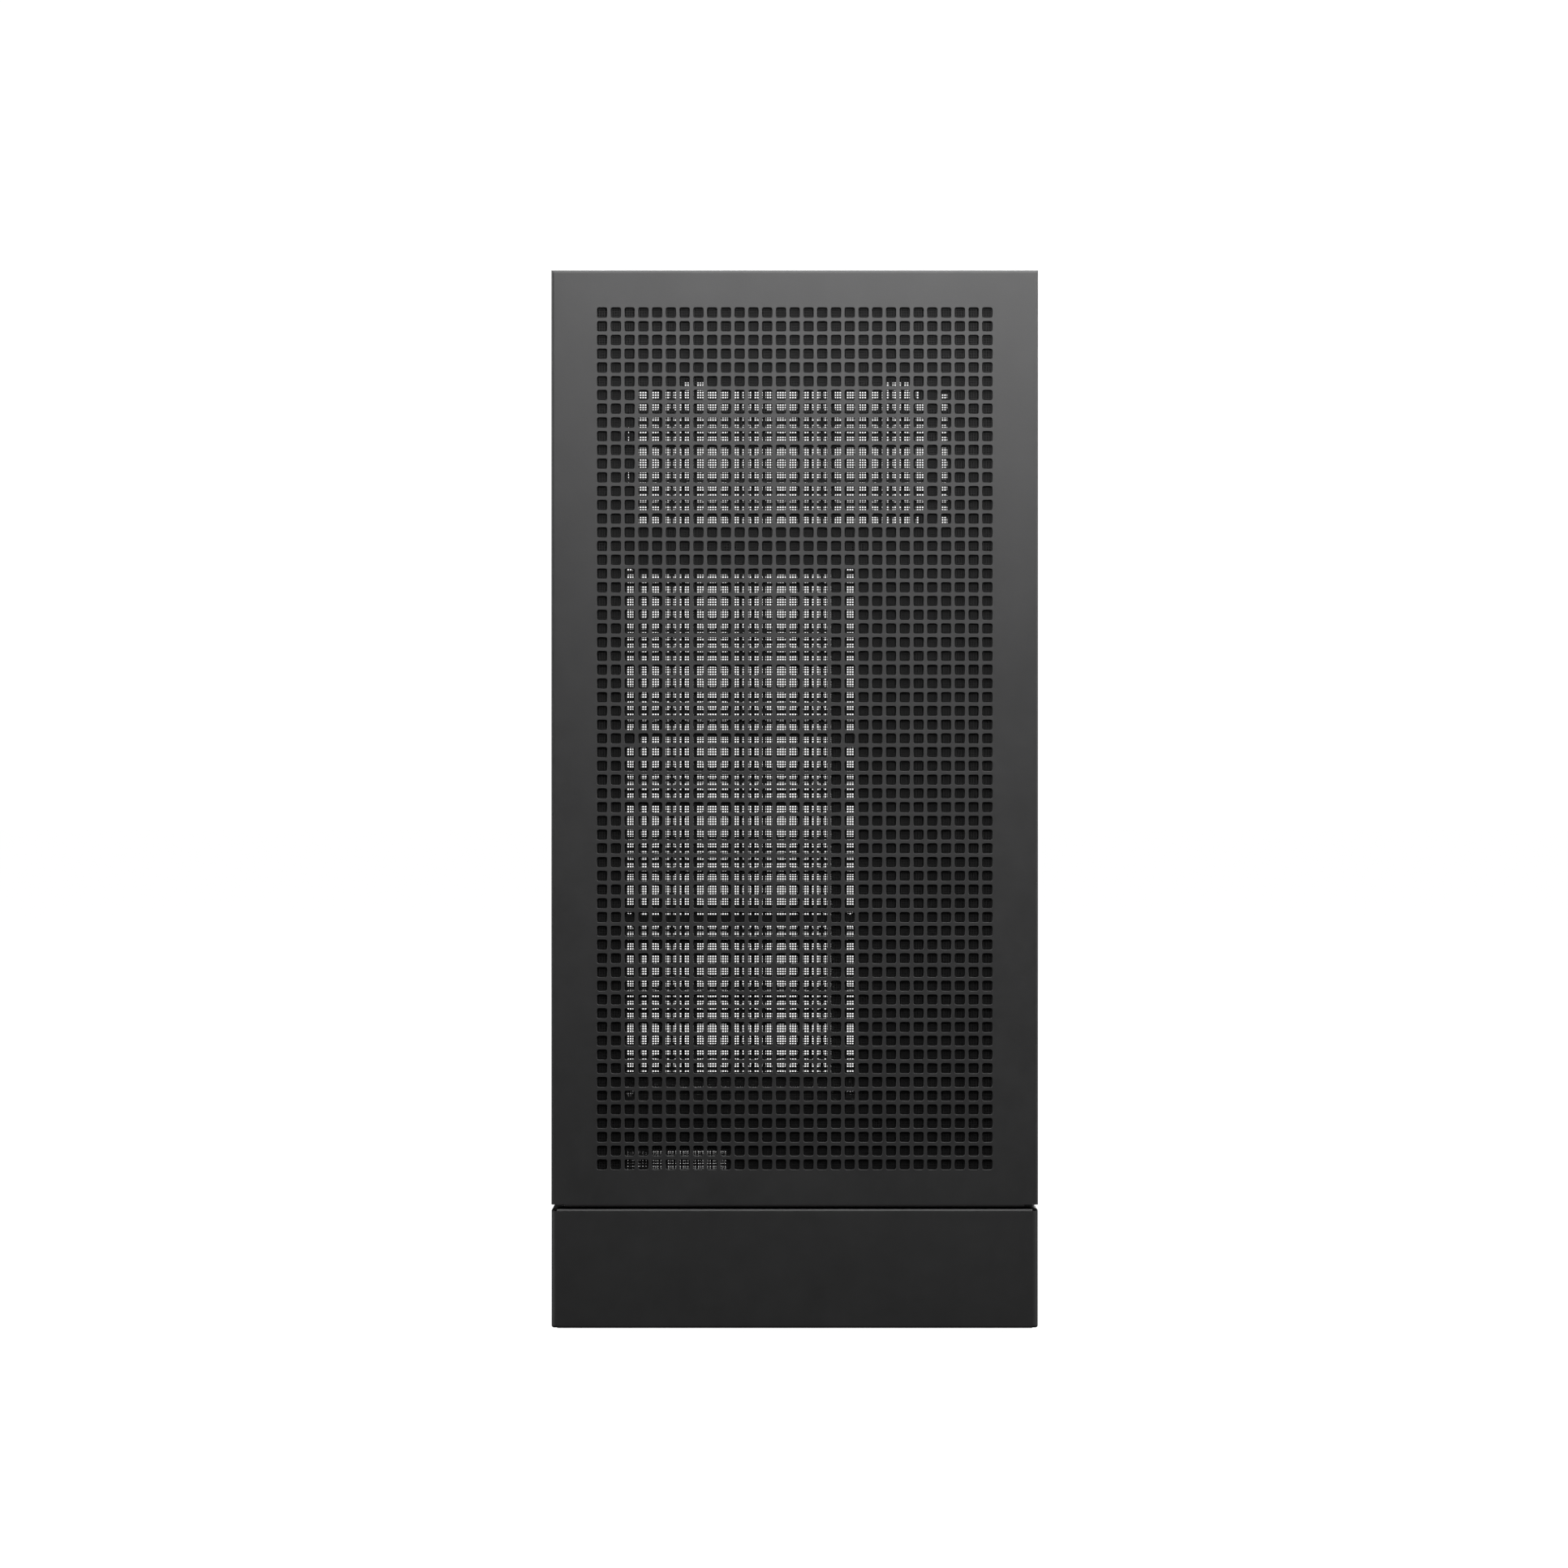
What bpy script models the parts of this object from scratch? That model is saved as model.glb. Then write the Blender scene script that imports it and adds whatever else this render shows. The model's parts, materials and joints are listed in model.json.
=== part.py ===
"""Compact upright computer enclosure: perforated steel panels on a folded frame, standing on a cable base.

Frame: +Z up, the front faces -Y, the origin is under the middle of the case on the surface it stands on.
Dimensions are written in millimetres and turned into metres by MM.
"""
import math

import bmesh
import bpy
from mathutils import Matrix, Vector

MM = 0.001

# Driving dimensions of the enclosure.
WIDTH = 167.0
DEPTH = 245.0
HEIGHT = 365.0
BASE_BOTTOM = 2.0
BASE_TOP = 42.8
PANEL_BOTTOM = 43.5
PANEL_TOP = 363.8
TOP_SHEET = 0.8
SHEET = 1.0
BASE_SHEET = 1.2
FOLD = 1.2
GAP = 0.3
REACH = 5.0

HALF_W = WIDTH / 2
HALF_D = DEPTH / 2

# Panels: folded covers with a coarse grille, a filter behind each and snap rails at their edges.
END_FLANGE = 10.0
SIDE_FLANGE = 7.1
PANEL_JOINT = 0.6
SIDE_HALF_DEPTH = HALF_D - END_FLANGE - PANEL_JOINT
GRILLE_HALF_W = 67.85
GRILLE_HALF_D = 98.0
GRILLE_Z = (56.5, 352.4)
GRILLE_BAR = 4.0
VENT_BAR = 8.0
FILTER_DEPTH = (1.3, 1.7)
TOP_FILTER_DEPTH = (1.1, 1.5)
END_FILTER = ((-79.0, 79.0), (46.0, 361.0))
SIDE_FILTER = ((-106.0, 106.0), (47.0, 360.0))
TOP_FILTER = ((-71.0, 71.0), (-107.0, 107.0))

# Snap rails and their pins. Depths run inwards from a panel's outer face.
PIN_R = 2.0
PIN_HOLE = 5.4
PIN_DEPTH = 4.0
END_PIN_TOP = (66.0, 356.3)
END_PIN_LOW = (72.0, 51.0)
END_PIN_LENGTH = 12.5
END_BAR_HALF = 77.0
END_BAR_DEPTH = (2.1, 4.3)
END_BAR_TOP = (353.0, 359.5)
END_BAR_LOW = (46.8, 55.2)
SIDE_PIN_Y = 90.0
SIDE_PIN_TOP = 355.4
SIDE_PIN_LOW = 52.3
SIDE_PIN_LENGTH = 7.3
SIDE_BAR_HALF = 104.0
SIDE_BAR_DEPTH = (2.0, 4.2)
SIDE_BAR_TOP = (352.9, 359.5)
SIDE_BAR_LOW = (47.5, 55.2)
TOP_PIN_Y = 98.0
TOP_PIN_X = 69.0
TOP_PIN_Z = 359.8
TOP_PIN_LENGTH = 4.6
TOP_BAR_HALF = 74.0
TOP_BAR_WIDTH = 8.0
TOP_BAR_Z = (361.4, 363.2)

# Inner frame.
FRAME_HALF_W = 76.0
FRAME_Y = 108.0
FRAME_Z = (7.3, 361.0)
FRAME_FLANGE = 8.0
FRAME_FLANGE_Z = (67.2, 345.0)
FLANGE_INSET = 0.1
FLANGE_OVERLAP = 0.5
RAIL_END = FRAME_Y - GAP
RAIL_LEG = 13.0
LOW_RAIL_LEG = 9.0
RAIL_LOW = 46.0
FLOOR_Z = 65.5
FLOOR_HALF_W = 74.5
SHELF_Z = 270.0
SHELF_X = (-74.0, 71.0)
LEVEL_HALF_D = FRAME_Y - 0.5

# Windows of the front frame, each as its limits across and up.
LOW_X = (-53.2, 13.6)
LOW_ROWS = ((83.1, 140.5), (143.0, 205.0), (206.8, 261.3))
SLOT_ROWS = ((80.4, 139.9), (143.5, 202.6), (206.8, 263.6))
LEFT_SLOT_X = (-58.6, -55.9)
RIGHT_SLOT_X = (17.8, 20.6)
SUPPLY_X = (-55.0, 45.9)
SUPPLY_Z = (278.8, 324.9)
SUPPLY_CORNER = (43.2, 3.0)
SUPPLY_NOTCH = 4.0
SUPPLY_NOTCH_LEFT = (-39.3, -31.3)
SUPPLY_NOTCH_RIGHT = (31.3, 39.7)
SUPPLY_NICK = 1.4
SUPPLY_NICK_X = (-42.8, -38.6)
SUPPLY_SLOT = ((51.1, 53.6), (274.8, 324.2))
SUPPLY_SLIT_X = (-57.7, -57.1)
SUPPLY_SLIT_ROWS = ((292.2, 297.9), (305.3, 312.4))
CABLE_WINDOW = ((-68.0, -23.5), (50.0, 63.6))

# Windows of the rear frame.
REAR_CARD_WINDOW = ((-70.0, 27.0), (72.0, 278.0))
REAR_BOARD_WINDOW = ((36.0, 70.0), (73.0, 277.0))
REAR_SUPPLY_WINDOW = ((-70.0, 68.0), (293.0, 351.5))
REAR_BASE_WINDOW = ((-69.0, 71.0), (10.0, 45.0))

# Floor plate: three card slots, the board's connector aperture and the hole for the lead.
CARD_X = (12.0, -8.32, -28.64)
CARD_Y = (-52.0, 53.0)
CARD_HALF_W = 6.1
BOARD_APERTURE = ((37.8, 73.2), (-79.4, 79.4))
LEAD_HOLE = ((57.0, 67.0), (-101.0, -91.0))
COVER_HALF_W = 9.2
COVER_Y = (-60.0, 58.0)
COVER_TAB_TOP = 78.0
CLAMP = ((-39.0, 22.4), (-62.8, -60.4), (68.2, 78.0))

# Motherboard tray. Its windows are given as limits along the depth and up.
TRAY_X = 31.0
TRAY_Z = (67.0, 262.0)
TRAY_HALF_D = 104.0
RISER_WINDOW = ((-74.0, -62.4), (107.0, 216.0))
BOARD_WINDOW = ((-35.0, 50.0), (125.0, 215.0))
CABLE_SLOTS = (((-30.0, 40.0), (84.0, 96.0)), ((-30.0, 40.0), (238.0, 250.0)), ((88.0, 98.0), (120.0, 210.0)))
STUD_Y = 78.7
STUD_Z = (85.2, 240.1)
STUD_R = 3.2
STUD_LENGTH = 6.2

# Card riser.
RISER_Y = -68.2
SLOT_X = (21.8, 32.7)
SLOT_Z = (110.0, 199.2)
SLOT_HALF_W = 3.75
SLOT_GROOVES = ((112.0, 123.0), (125.0, 197.0))
GROOVE_HALF_W = 0.95
GROOVE_DEPTH = 8.0
RISER_BOARD = ((33.0, 34.6), (-84.0, -56.0), (100.0, 212.0))
RISER_PLUG = ((48.6, 56.6), (-85.0, -75.0), (108.0, 201.0))
LATCH = ((21.9, 31.0), (RISER_Y - 2.8, RISER_Y + 2.8), (199.7, 203.5))
RIBBON_Z = (112.0, 197.0)
RIBBON_X = 33.8
RIBBON_R = 9.0
RIBBON_BEND_Y = -94.0
RIBBON_ENDS = (-84.5, -85.6)
RIBBON_SHEET = 1.0

# Bracket for two 120 mm fans.
BRACKET_X = (72.3, 73.3)
BRACKET_HALF_D = 98.0
BRACKET_Z = (70.0, 345.0)
FAN_Z = (140.0, 270.0)
FAN_R = 58.0
FAN_HOLE_PITCH = 52.5
FAN_SLOT = (5.0, 2.2)
BRACKET_VENT_Y = (66.0, 92.0)
BRACKET_VENT_Z = (90.0, 136.0, 182.0, 228.0, 274.0)
BRACKET_VENT_HEIGHT = 30.0

# Base: skirt, bottom plate, feet and rear openings.
BASE_CORNER = 2.0
BASE_PLATE_Z = (6.0, 7.0)
FOOT_X = 64.0
FOOT_Y = 102.0
FOOT_R = 8.0
FOOT_HEIGHT = 5.7
EXIT_X = (-68.0, 20.0)
EXIT_Z = (9.0, 39.0)
INLET_X = 55.0
INLET_Z = 22.0
INLET_W = 28.0
INLET_H = 22.0
INLET_Y = 100.0
INLET_RECESS_Y = 106.0
INLET_PINS = ((-7.0, -2.2), (0.0, 3.4), (7.0, -2.2))

# Front controls, on the right side of the base.
BUTTON_Y = -97.0
BUTTON_Z = 24.0
BUTTON_R = 4.8
BUTTON_LENGTH = 4.2
USB_C_Y = -78.0
USB_C_SIZE = (8.9, 3.2)
USB_A_Y = (-61.0, -42.0)
USB_A_SIZE = (13.1, 5.8)
BOARD_TOP = 18.6
BOARD_SHEET = 1.6

# Route of the inner lead from the inlet to the supply, and its plug.
LEAD_R = 3.3
LEAD_ROUTE = (
    (INLET_X, 99.6, INLET_Z), (INLET_X + 0.5, 90, 21), (58.5, 70, 13.5), (61, 50, 11.5), (62, 20, 11.2),
    (62, -40, 11.2), (62, -76, 11.5), (62, -90, 18), (62, -95.5, 34), (62, -96, 60), (62, -96, 150), (62, -96, 234.6),
)
LEAD_PLUG = ((53.0, 71.0), (-104.0, -88.0), (235.0, 264.0))

for old in list(bpy.data.objects):
    bpy.data.objects.remove(old, do_unlink=True)

model = bpy.data.collections.new("compact_case")
cutters = bpy.data.collections.new("cutters")
bpy.context.scene.collection.children.link(model)
bpy.context.scene.collection.children.link(cutters)


def material(name, colour, roughness, metallic):
    """A Principled material with one colour."""
    made = bpy.data.materials.new(name)
    made.use_nodes = True
    shader = made.node_tree.nodes["Principled BSDF"]
    shader.inputs["Base Color"].default_value = (*colour, 1.0)
    shader.inputs["Roughness"].default_value = roughness
    shader.inputs["Metallic"].default_value = metallic
    made.diffuse_color = (*colour, 1.0)
    return made


black_steel = material("black_steel", (0.022, 0.022, 0.023), 0.62, 0.0)
filter_mesh = material("filter_mesh", (0.015, 0.015, 0.015), 0.7, 0.0)
black_plastic = material("black_plastic", (0.018, 0.018, 0.019), 0.5, 0.0)
rubber = material("rubber", (0.02, 0.02, 0.02), 0.85, 0.0)
brass = material("brass", (0.72, 0.53, 0.24), 0.35, 1.0)
bright_steel = material("bright_steel", (0.6, 0.6, 0.6), 0.3, 1.0)
board_green = material("board", (0.012, 0.016, 0.014), 0.45, 0.0)


def add_object(name, mesh, finish=None, location=(0, 0, 0), cutter=False):
    """Put a mesh in the model, or in the cutters' collection as a wire guide."""
    obj = bpy.data.objects.new(name, mesh)
    obj.location = Vector(location)
    if cutter:
        cutters.objects.link(obj)
        obj.hide_render = True
        obj.display_type = "WIRE"
    else:
        model.objects.link(obj)
        mesh.materials.append(finish)
    return obj


def mesh_from(name, shape):
    """Turn a bmesh into a mesh and free it."""
    mesh = bpy.data.meshes.new(name)
    shape.to_mesh(mesh)
    shape.free()
    return mesh


def measure(x, y, z):
    """Size and centre, in metres, of a box between two limits on each axis."""
    size = Vector((x[1] - x[0], y[1] - y[0], z[1] - z[0])) * MM
    centre = Vector((x[0] + x[1], y[0] + y[1], z[0] + z[1])) * (MM / 2)
    return size, centre


def box(name, x, y, z, finish=None, cutter=False, round_edge=0.0):
    """A box between two limits on each axis, in millimetres, with its origin at its centre."""
    size, centre = measure(x, y, z)
    shape = bmesh.new()
    bmesh.ops.create_cube(shape, size=1.0, matrix=Matrix.Diagonal((*size, 1.0)))
    obj = add_object(name, mesh_from(name, shape), finish, centre, cutter)
    if round_edge:
        bevel = obj.modifiers.new("round", "BEVEL")
        bevel.width = round_edge * MM
        bevel.segments = 2
    return obj


def box_group(name, boxes):
    """One cutter made of many separate boxes, each given as its x, y and z limits."""
    shape = bmesh.new()
    for x, y, z in boxes:
        size, centre = measure(x, y, z)
        place = Matrix.Translation(centre) @ Matrix.Diagonal((*size, 1.0))
        bmesh.ops.create_cube(shape, size=1.0, matrix=place)
    return add_object(name, mesh_from(name, shape), cutter=True)


AXIS_TURN = {
    "X": Matrix.Rotation(math.pi / 2, 4, "Y"),
    "Y": Matrix.Rotation(-math.pi / 2, 4, "X"),
    "Z": Matrix.Identity(4),
}


def cylinder(name, centre, radius, length, axis, finish=None, sides=24, cutter=False):
    """A closed cylinder along a world axis, with its origin at its centre."""
    shape = bmesh.new()
    bmesh.ops.create_cone(
        shape, cap_ends=True, segments=sides, radius1=radius * MM, radius2=radius * MM,
        depth=length * MM, matrix=AXIS_TURN[axis],
    )
    mesh = mesh_from(name, shape)
    mesh.shade_smooth()
    mesh.set_sharp_from_angle(angle=math.radians(35))
    return add_object(name, mesh, finish, Vector(centre) * MM, cutter)


def combine(target, tool, operation):
    """Add a Boolean modifier; its tool is kept as a guide."""
    step = target.modifiers.new(tool.name, "BOOLEAN")
    step.operation = operation
    step.object = tool
    return target


def cut(target, tool):
    return combine(target, tool, "DIFFERENCE")


def join(target, tool):
    return combine(target, tool, "UNION")


def rectangle(x, z):
    """Corners of a rectangle, anticlockwise."""
    return [(x[0], z[0]), (x[1], z[0]), (x[1], z[1]), (x[0], z[1])]


def round_rectangle(x, z, radius, steps=3):
    """A rectangle whose corners are arcs."""
    corners = ((x[1], z[0], -90), (x[1], z[1], 0), (x[0], z[1], 90), (x[0], z[0], 180))
    points = []
    for corner_x, corner_z, start in corners:
        centre_x = corner_x + (radius if corner_x == x[0] else -radius)
        centre_z = corner_z + (radius if corner_z == z[0] else -radius)
        for step in range(steps + 1):
            angle = math.radians(start + 90 * step / steps)
            points.append((centre_x + radius * math.cos(angle), centre_z + radius * math.sin(angle)))
    return points


def circle(centre_x, centre_z, radius, sides=28):
    angles = [2 * math.pi * step / sides for step in range(sides)]
    return [(centre_x + radius * math.cos(a), centre_z + radius * math.sin(a)) for a in angles]


PLATE_TURN = {
    "Z": (0.0, 0.0, 0.0),
    "Y": (math.pi / 2, 0.0, 0.0),
    "X": (math.pi / 2, 0.0, math.pi / 2),
}


def flat_mesh(name, outlines, thickness):
    """A mesh of flat outlines, each extruded by the thickness about its own plane."""
    curve = bpy.data.curves.new(name, "CURVE")
    curve.dimensions = "2D"
    curve.fill_mode = "BOTH"
    curve.extrude = thickness / 2 * MM
    for outline in outlines:
        spline = curve.splines.new("POLY")
        spline.points.add(len(outline) - 1)
        for point, (u, v) in zip(spline.points, outline):
            point.co = (u * MM, v * MM, 0.0, 1.0)
        spline.use_cyclic_u = True
    drawn = bpy.data.objects.new(name, curve)
    cutters.objects.link(drawn)
    bpy.context.view_layer.update()
    evaluated = drawn.evaluated_get(bpy.context.evaluated_depsgraph_get())
    flat = bpy.data.meshes.new_from_object(evaluated)
    bpy.data.objects.remove(drawn, do_unlink=True)
    shape = bmesh.new()
    shape.from_mesh(flat)
    bmesh.ops.remove_doubles(shape, verts=shape.verts, dist=1e-6)
    bmesh.ops.recalc_face_normals(shape, faces=shape.faces)
    return mesh_from(name, shape)


def plate(name, edge, holes, normal, span, finish):
    """A flat sheet with holes. Its outlines are given in the two axes across its normal, in X, Y, Z
    order, and span is where the sheet lies along its normal."""
    middle = (span[0] + span[1]) / 2 * MM
    place = {"X": (middle, 0, 0), "Y": (0, middle, 0), "Z": (0, 0, middle)}[normal]
    thickness = span[1] - span[0]
    sheet = add_object(name, flat_mesh(name, [edge], thickness), finish, place)
    sheet.rotation_euler = PLATE_TURN[normal]
    if holes:
        tool = add_object(name + "_holes", flat_mesh(name + "_holes", holes, thickness + 4), None, place, cutter=True)
        tool.rotation_euler = PLATE_TURN[normal]
        cut(sheet, tool)
    return sheet


def grille(across, up, columns, rows, bar=GRILLE_BAR):
    """Limits of each opening in a grid of columns and rows that fills across x up."""
    pitch_across = (across[1] - across[0] + bar) / columns
    pitch_up = (up[1] - up[0] + bar) / rows
    cells = []
    for column in range(columns):
        for row in range(rows):
            left = across[0] + column * pitch_across
            low = up[0] + row * pitch_up
            cells.append(((left, left + pitch_across - bar), (low, low + pitch_up - bar)))
    return cells


def pan(name, x, y, z, open_side, finish):
    """A folded steel pan: a box without one side, thickened inwards, with rounded folds."""
    size, centre = measure(x, y, z)
    shape = bmesh.new()
    bmesh.ops.create_cube(shape, size=1.0, matrix=Matrix.Diagonal((*size, 1.0)))
    shape.normal_update()
    gone = [face for face in shape.faces if face.normal.dot(Vector(open_side)) > 0.9]
    bmesh.ops.delete(shape, geom=gone, context="FACES_ONLY")
    obj = add_object(name, mesh_from(name, shape), finish, centre)
    fold = obj.modifiers.new("fold", "BEVEL")
    fold.width = FOLD * MM
    fold.segments = 2
    wall = obj.modifiers.new("sheet", "SOLIDIFY")
    wall.thickness = SHEET * MM
    wall.offset = -1.0
    return obj


def between(first, last):
    """Two limits in rising order."""
    return min(first, last), max(first, last)


def around(centre, half):
    """Limits of something centred on a value."""
    return centre - half, centre + half


def inwards(facing, face, depths):
    """Limits of something that lies between two depths behind a face at +/- face."""
    return between(facing * (face - depths[0]), facing * (face - depths[1]))


def snap_rail(name, bar_limits, pins, finish):
    """A flat bar with two round pins; each pin is its centre, length and axis."""
    bar = box(name, *bar_limits, finish)
    for number, (centre, length, axis) in enumerate(pins, 1):
        pin = cylinder(f"{name}_pin_{number}", centre, PIN_R, length, axis, sides=10, cutter=True)
        join(bar, pin)
    return bar


def end_panel(side, facing):
    """The front (facing -1) or rear (facing 1) panel with its two snap rails."""
    y = inwards(facing, HALF_D, (0.0, END_FLANGE))
    panel = pan(f"{side}_panel", (-HALF_W, HALF_W), y, (PANEL_BOTTOM, HEIGHT), (0, -facing, 0), black_steel)
    through = around(facing * HALF_D, REACH)
    cells = grille((-GRILLE_HALF_W, GRILLE_HALF_W), GRILLE_Z, 4, 9)
    cut(panel, box_group(f"{side}_grille", [(u, through, v) for u, v in cells]))
    bar_y = inwards(facing, HALF_D, END_BAR_DEPTH)
    pin_y = facing * (HALF_D - PIN_DEPTH - END_PIN_LENGTH / 2)
    for level, (pin_x, pin_z), bar_z in (("top", END_PIN_TOP, END_BAR_TOP), ("bottom", END_PIN_LOW, END_BAR_LOW)):
        pins = [((sign * pin_x, pin_y, pin_z), END_PIN_LENGTH, "Y") for sign in (-1, 1)]
        snap_rail(f"{side}_snap_rail_{level}", ((-END_BAR_HALF, END_BAR_HALF), bar_y, bar_z), pins, black_plastic)


def side_panel(side, facing):
    """The left (facing -1) or right (facing 1) panel with its filter and snap rails."""
    x = inwards(facing, HALF_W, (0.0, SIDE_FLANGE))
    depth = (-SIDE_HALF_DEPTH, SIDE_HALF_DEPTH)
    panel = pan(f"{side}_panel", x, depth, (PANEL_BOTTOM, PANEL_TOP), (-facing, 0, 0), black_steel)
    cells = grille((-GRILLE_HALF_D, GRILLE_HALF_D), GRILLE_Z, 6, 9)
    through = around(facing * HALF_W, REACH)
    cut(panel, box_group(f"{side}_grille", [(through, u, v) for u, v in cells]))
    box(f"{side}_filter", inwards(facing, HALF_W, FILTER_DEPTH), *SIDE_FILTER, filter_mesh)
    bar_x = inwards(facing, HALF_W, SIDE_BAR_DEPTH)
    pin_x = facing * (HALF_W - PIN_DEPTH - SIDE_PIN_LENGTH / 2)
    for level, pin_z, bar_z in (("top", SIDE_PIN_TOP, SIDE_BAR_TOP), ("bottom", SIDE_PIN_LOW, SIDE_BAR_LOW)):
        pins = [((pin_x, sign * SIDE_PIN_Y, pin_z), SIDE_PIN_LENGTH, "X") for sign in (-1, 1)]
        snap_rail(f"{side}_snap_rail_{level}", (bar_x, (-SIDE_BAR_HALF, SIDE_BAR_HALF), bar_z), pins, black_plastic)


def top_panel():
    """The flat top sheet between the end panels, with its filter and two cross rails."""
    edge = rectangle((-HALF_W, HALF_W), (-SIDE_HALF_DEPTH, SIDE_HALF_DEPTH))
    cells = grille((-GRILLE_HALF_W, GRILLE_HALF_W), (-GRILLE_HALF_D, GRILLE_HALF_D), 4, 6)
    holes = [rectangle(u, v) for u, v in cells]
    plate("top_panel", edge, holes, "Z", (HEIGHT - TOP_SHEET, HEIGHT), black_steel)
    box("top_filter", *TOP_FILTER, inwards(1, HEIGHT, TOP_FILTER_DEPTH), filter_mesh)
    for end, sign in (("front", -1), ("rear", 1)):
        bar_y = around(sign * TOP_PIN_Y, TOP_BAR_WIDTH / 2)
        pins = [((x, sign * TOP_PIN_Y, TOP_PIN_Z), TOP_PIN_LENGTH, "Z") for x in (-TOP_PIN_X, TOP_PIN_X)]
        snap_rail(f"top_snap_rail_{end}", ((-TOP_BAR_HALF, TOP_BAR_HALF), bar_y, TOP_BAR_Z), pins, black_plastic)


def supply_outline():
    """The power supply's cut-out: a rectangle with stepped right corners, two screw notches and a nick."""
    (left, right), (low, high) = SUPPLY_X, SUPPLY_Z
    step_x, step = SUPPLY_CORNER
    nick = low - SUPPLY_NICK
    notch = high + SUPPLY_NOTCH
    outline = [(left, low), (SUPPLY_NICK_X[0], low), (SUPPLY_NICK_X[0], nick), (SUPPLY_NICK_X[1], nick)]
    outline += [(SUPPLY_NICK_X[1], low), (step_x, low), (step_x, low + step), (right, low + step)]
    outline += [(right, high - step), (step_x, high - step), (step_x, high)]
    for notch_x in (SUPPLY_NOTCH_RIGHT, SUPPLY_NOTCH_LEFT):
        outline += [(notch_x[1], high), (notch_x[1], notch), (notch_x[0], notch), (notch_x[0], high)]
    return outline + [(left, high)]


def pin_holes():
    """Square holes of an end frame for the pins of its cover."""
    half = PIN_HOLE / 2
    return [rectangle(around(sign * x, half), around(z, half)) for x, z in (END_PIN_TOP, END_PIN_LOW) for sign in (-1, 1)]


def end_frame(side, facing, holes):
    """The upright plate behind an end panel, with its side edges folded inwards."""
    outline = rectangle((-FRAME_HALF_W, FRAME_HALF_W), FRAME_Z)
    y = between(facing * FRAME_Y, facing * (FRAME_Y + SHEET))
    frame = plate(f"{side}_frame", outline, holes + pin_holes(), "Y", y, black_steel)
    flange_y = between(facing * (FRAME_Y + FLANGE_OVERLAP), facing * (FRAME_Y - FRAME_FLANGE))
    for hand, sign in (("left", -1), ("right", 1)):
        x = inwards(sign, FRAME_HALF_W, (FLANGE_INSET, FLANGE_INSET + SHEET))
        join(frame, box(f"{side}_frame_{hand}_flange", x, flange_y, FRAME_FLANGE_Z, cutter=True))


def front_windows():
    """Outlines of the openings in the front frame."""
    holes = [supply_outline()]
    holes += [rectangle(*window) for window in (CABLE_WINDOW, SUPPLY_SLOT)]
    holes += [rectangle(SUPPLY_SLIT_X, row) for row in SUPPLY_SLIT_ROWS]
    holes += [rectangle(LOW_X, row) for row in LOW_ROWS]
    for slot_x in (LEFT_SLOT_X, RIGHT_SLOT_X):
        radius = (slot_x[1] - slot_x[0]) / 2 - 0.05
        holes += [round_rectangle(slot_x, row, radius, 2) for row in SLOT_ROWS]
    return holes


def rear_windows():
    """Outlines of the openings in the rear frame."""
    windows = (REAR_CARD_WINDOW, REAR_BOARD_WINDOW, REAR_SUPPLY_WINDOW, REAR_BASE_WINDOW)
    return [rectangle(*window) for window in windows]


def frame_rail(level, hand):
    """An angle rail along the depth, drilled for the side panel's and top panel's pins."""
    sign = -1 if hand == "left" else 1
    top = level == "top"
    leg, pin_z = (RAIL_LEG, SIDE_PIN_TOP) if top else (LOW_RAIL_LEG, SIDE_PIN_LOW)
    z = (FRAME_Z[1] - RAIL_LEG, FRAME_Z[1]) if top else (RAIL_LOW, RAIL_LOW + RAIL_LEG)
    leg_z = (z[1] - SHEET, z[1]) if top else (z[0], z[0] + SHEET)
    y = (-RAIL_END, RAIL_END)
    upright = inwards(sign, FRAME_HALF_W, (0.0, SHEET))
    across = inwards(sign, FRAME_HALF_W, (0.0, leg))
    name = f"{level}_{hand}_rail"
    rail = box(name, upright, y, z, black_steel)
    join(rail, box(name + "_leg", across, y, leg_z, cutter=True))
    half = PIN_HOLE / 2
    drilled = []
    for end in (-1, 1):
        drilled.append((around(sign * FRAME_HALF_W, REACH), around(end * SIDE_PIN_Y, half), around(pin_z, half)))
        if top:
            drilled.append((around(sign * TOP_PIN_X, half), around(end * TOP_PIN_Y, half), around(z[1], REACH)))
    cut(rail, box_group(name + "_holes", drilled))


def floor_plate():
    """The level plate that carries the card slots and the board's connector aperture."""
    holes = [rectangle(around(x, CARD_HALF_W), CARD_Y) for x in CARD_X]
    holes += [rectangle(*BOARD_APERTURE), rectangle(*LEAD_HOLE)]
    edge = rectangle((-FLOOR_HALF_W, FLOOR_HALF_W), (-LEVEL_HALF_D, LEVEL_HALF_D))
    plate("floor_plate", edge, holes, "Z", (FLOOR_Z, FLOOR_Z + SHEET), black_steel)


def slot_covers():
    """Three card-slot covers with upturned ends, and the bar that clamps them."""
    low = FLOOR_Z + SHEET + GAP
    for number, centre in enumerate(CARD_X, 1):
        x = around(centre, COVER_HALF_W)
        cover = box(f"slot_cover_{number}", x, COVER_Y, (low, low + SHEET), bright_steel)
        tab_y = (COVER_Y[0], COVER_Y[0] + SHEET)
        join(cover, box(f"slot_cover_{number}_tab", x, tab_y, (low + 0.2, COVER_TAB_TOP), cutter=True))
    box("slot_clamp", *CLAMP, black_steel, round_edge=0.6)


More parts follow.
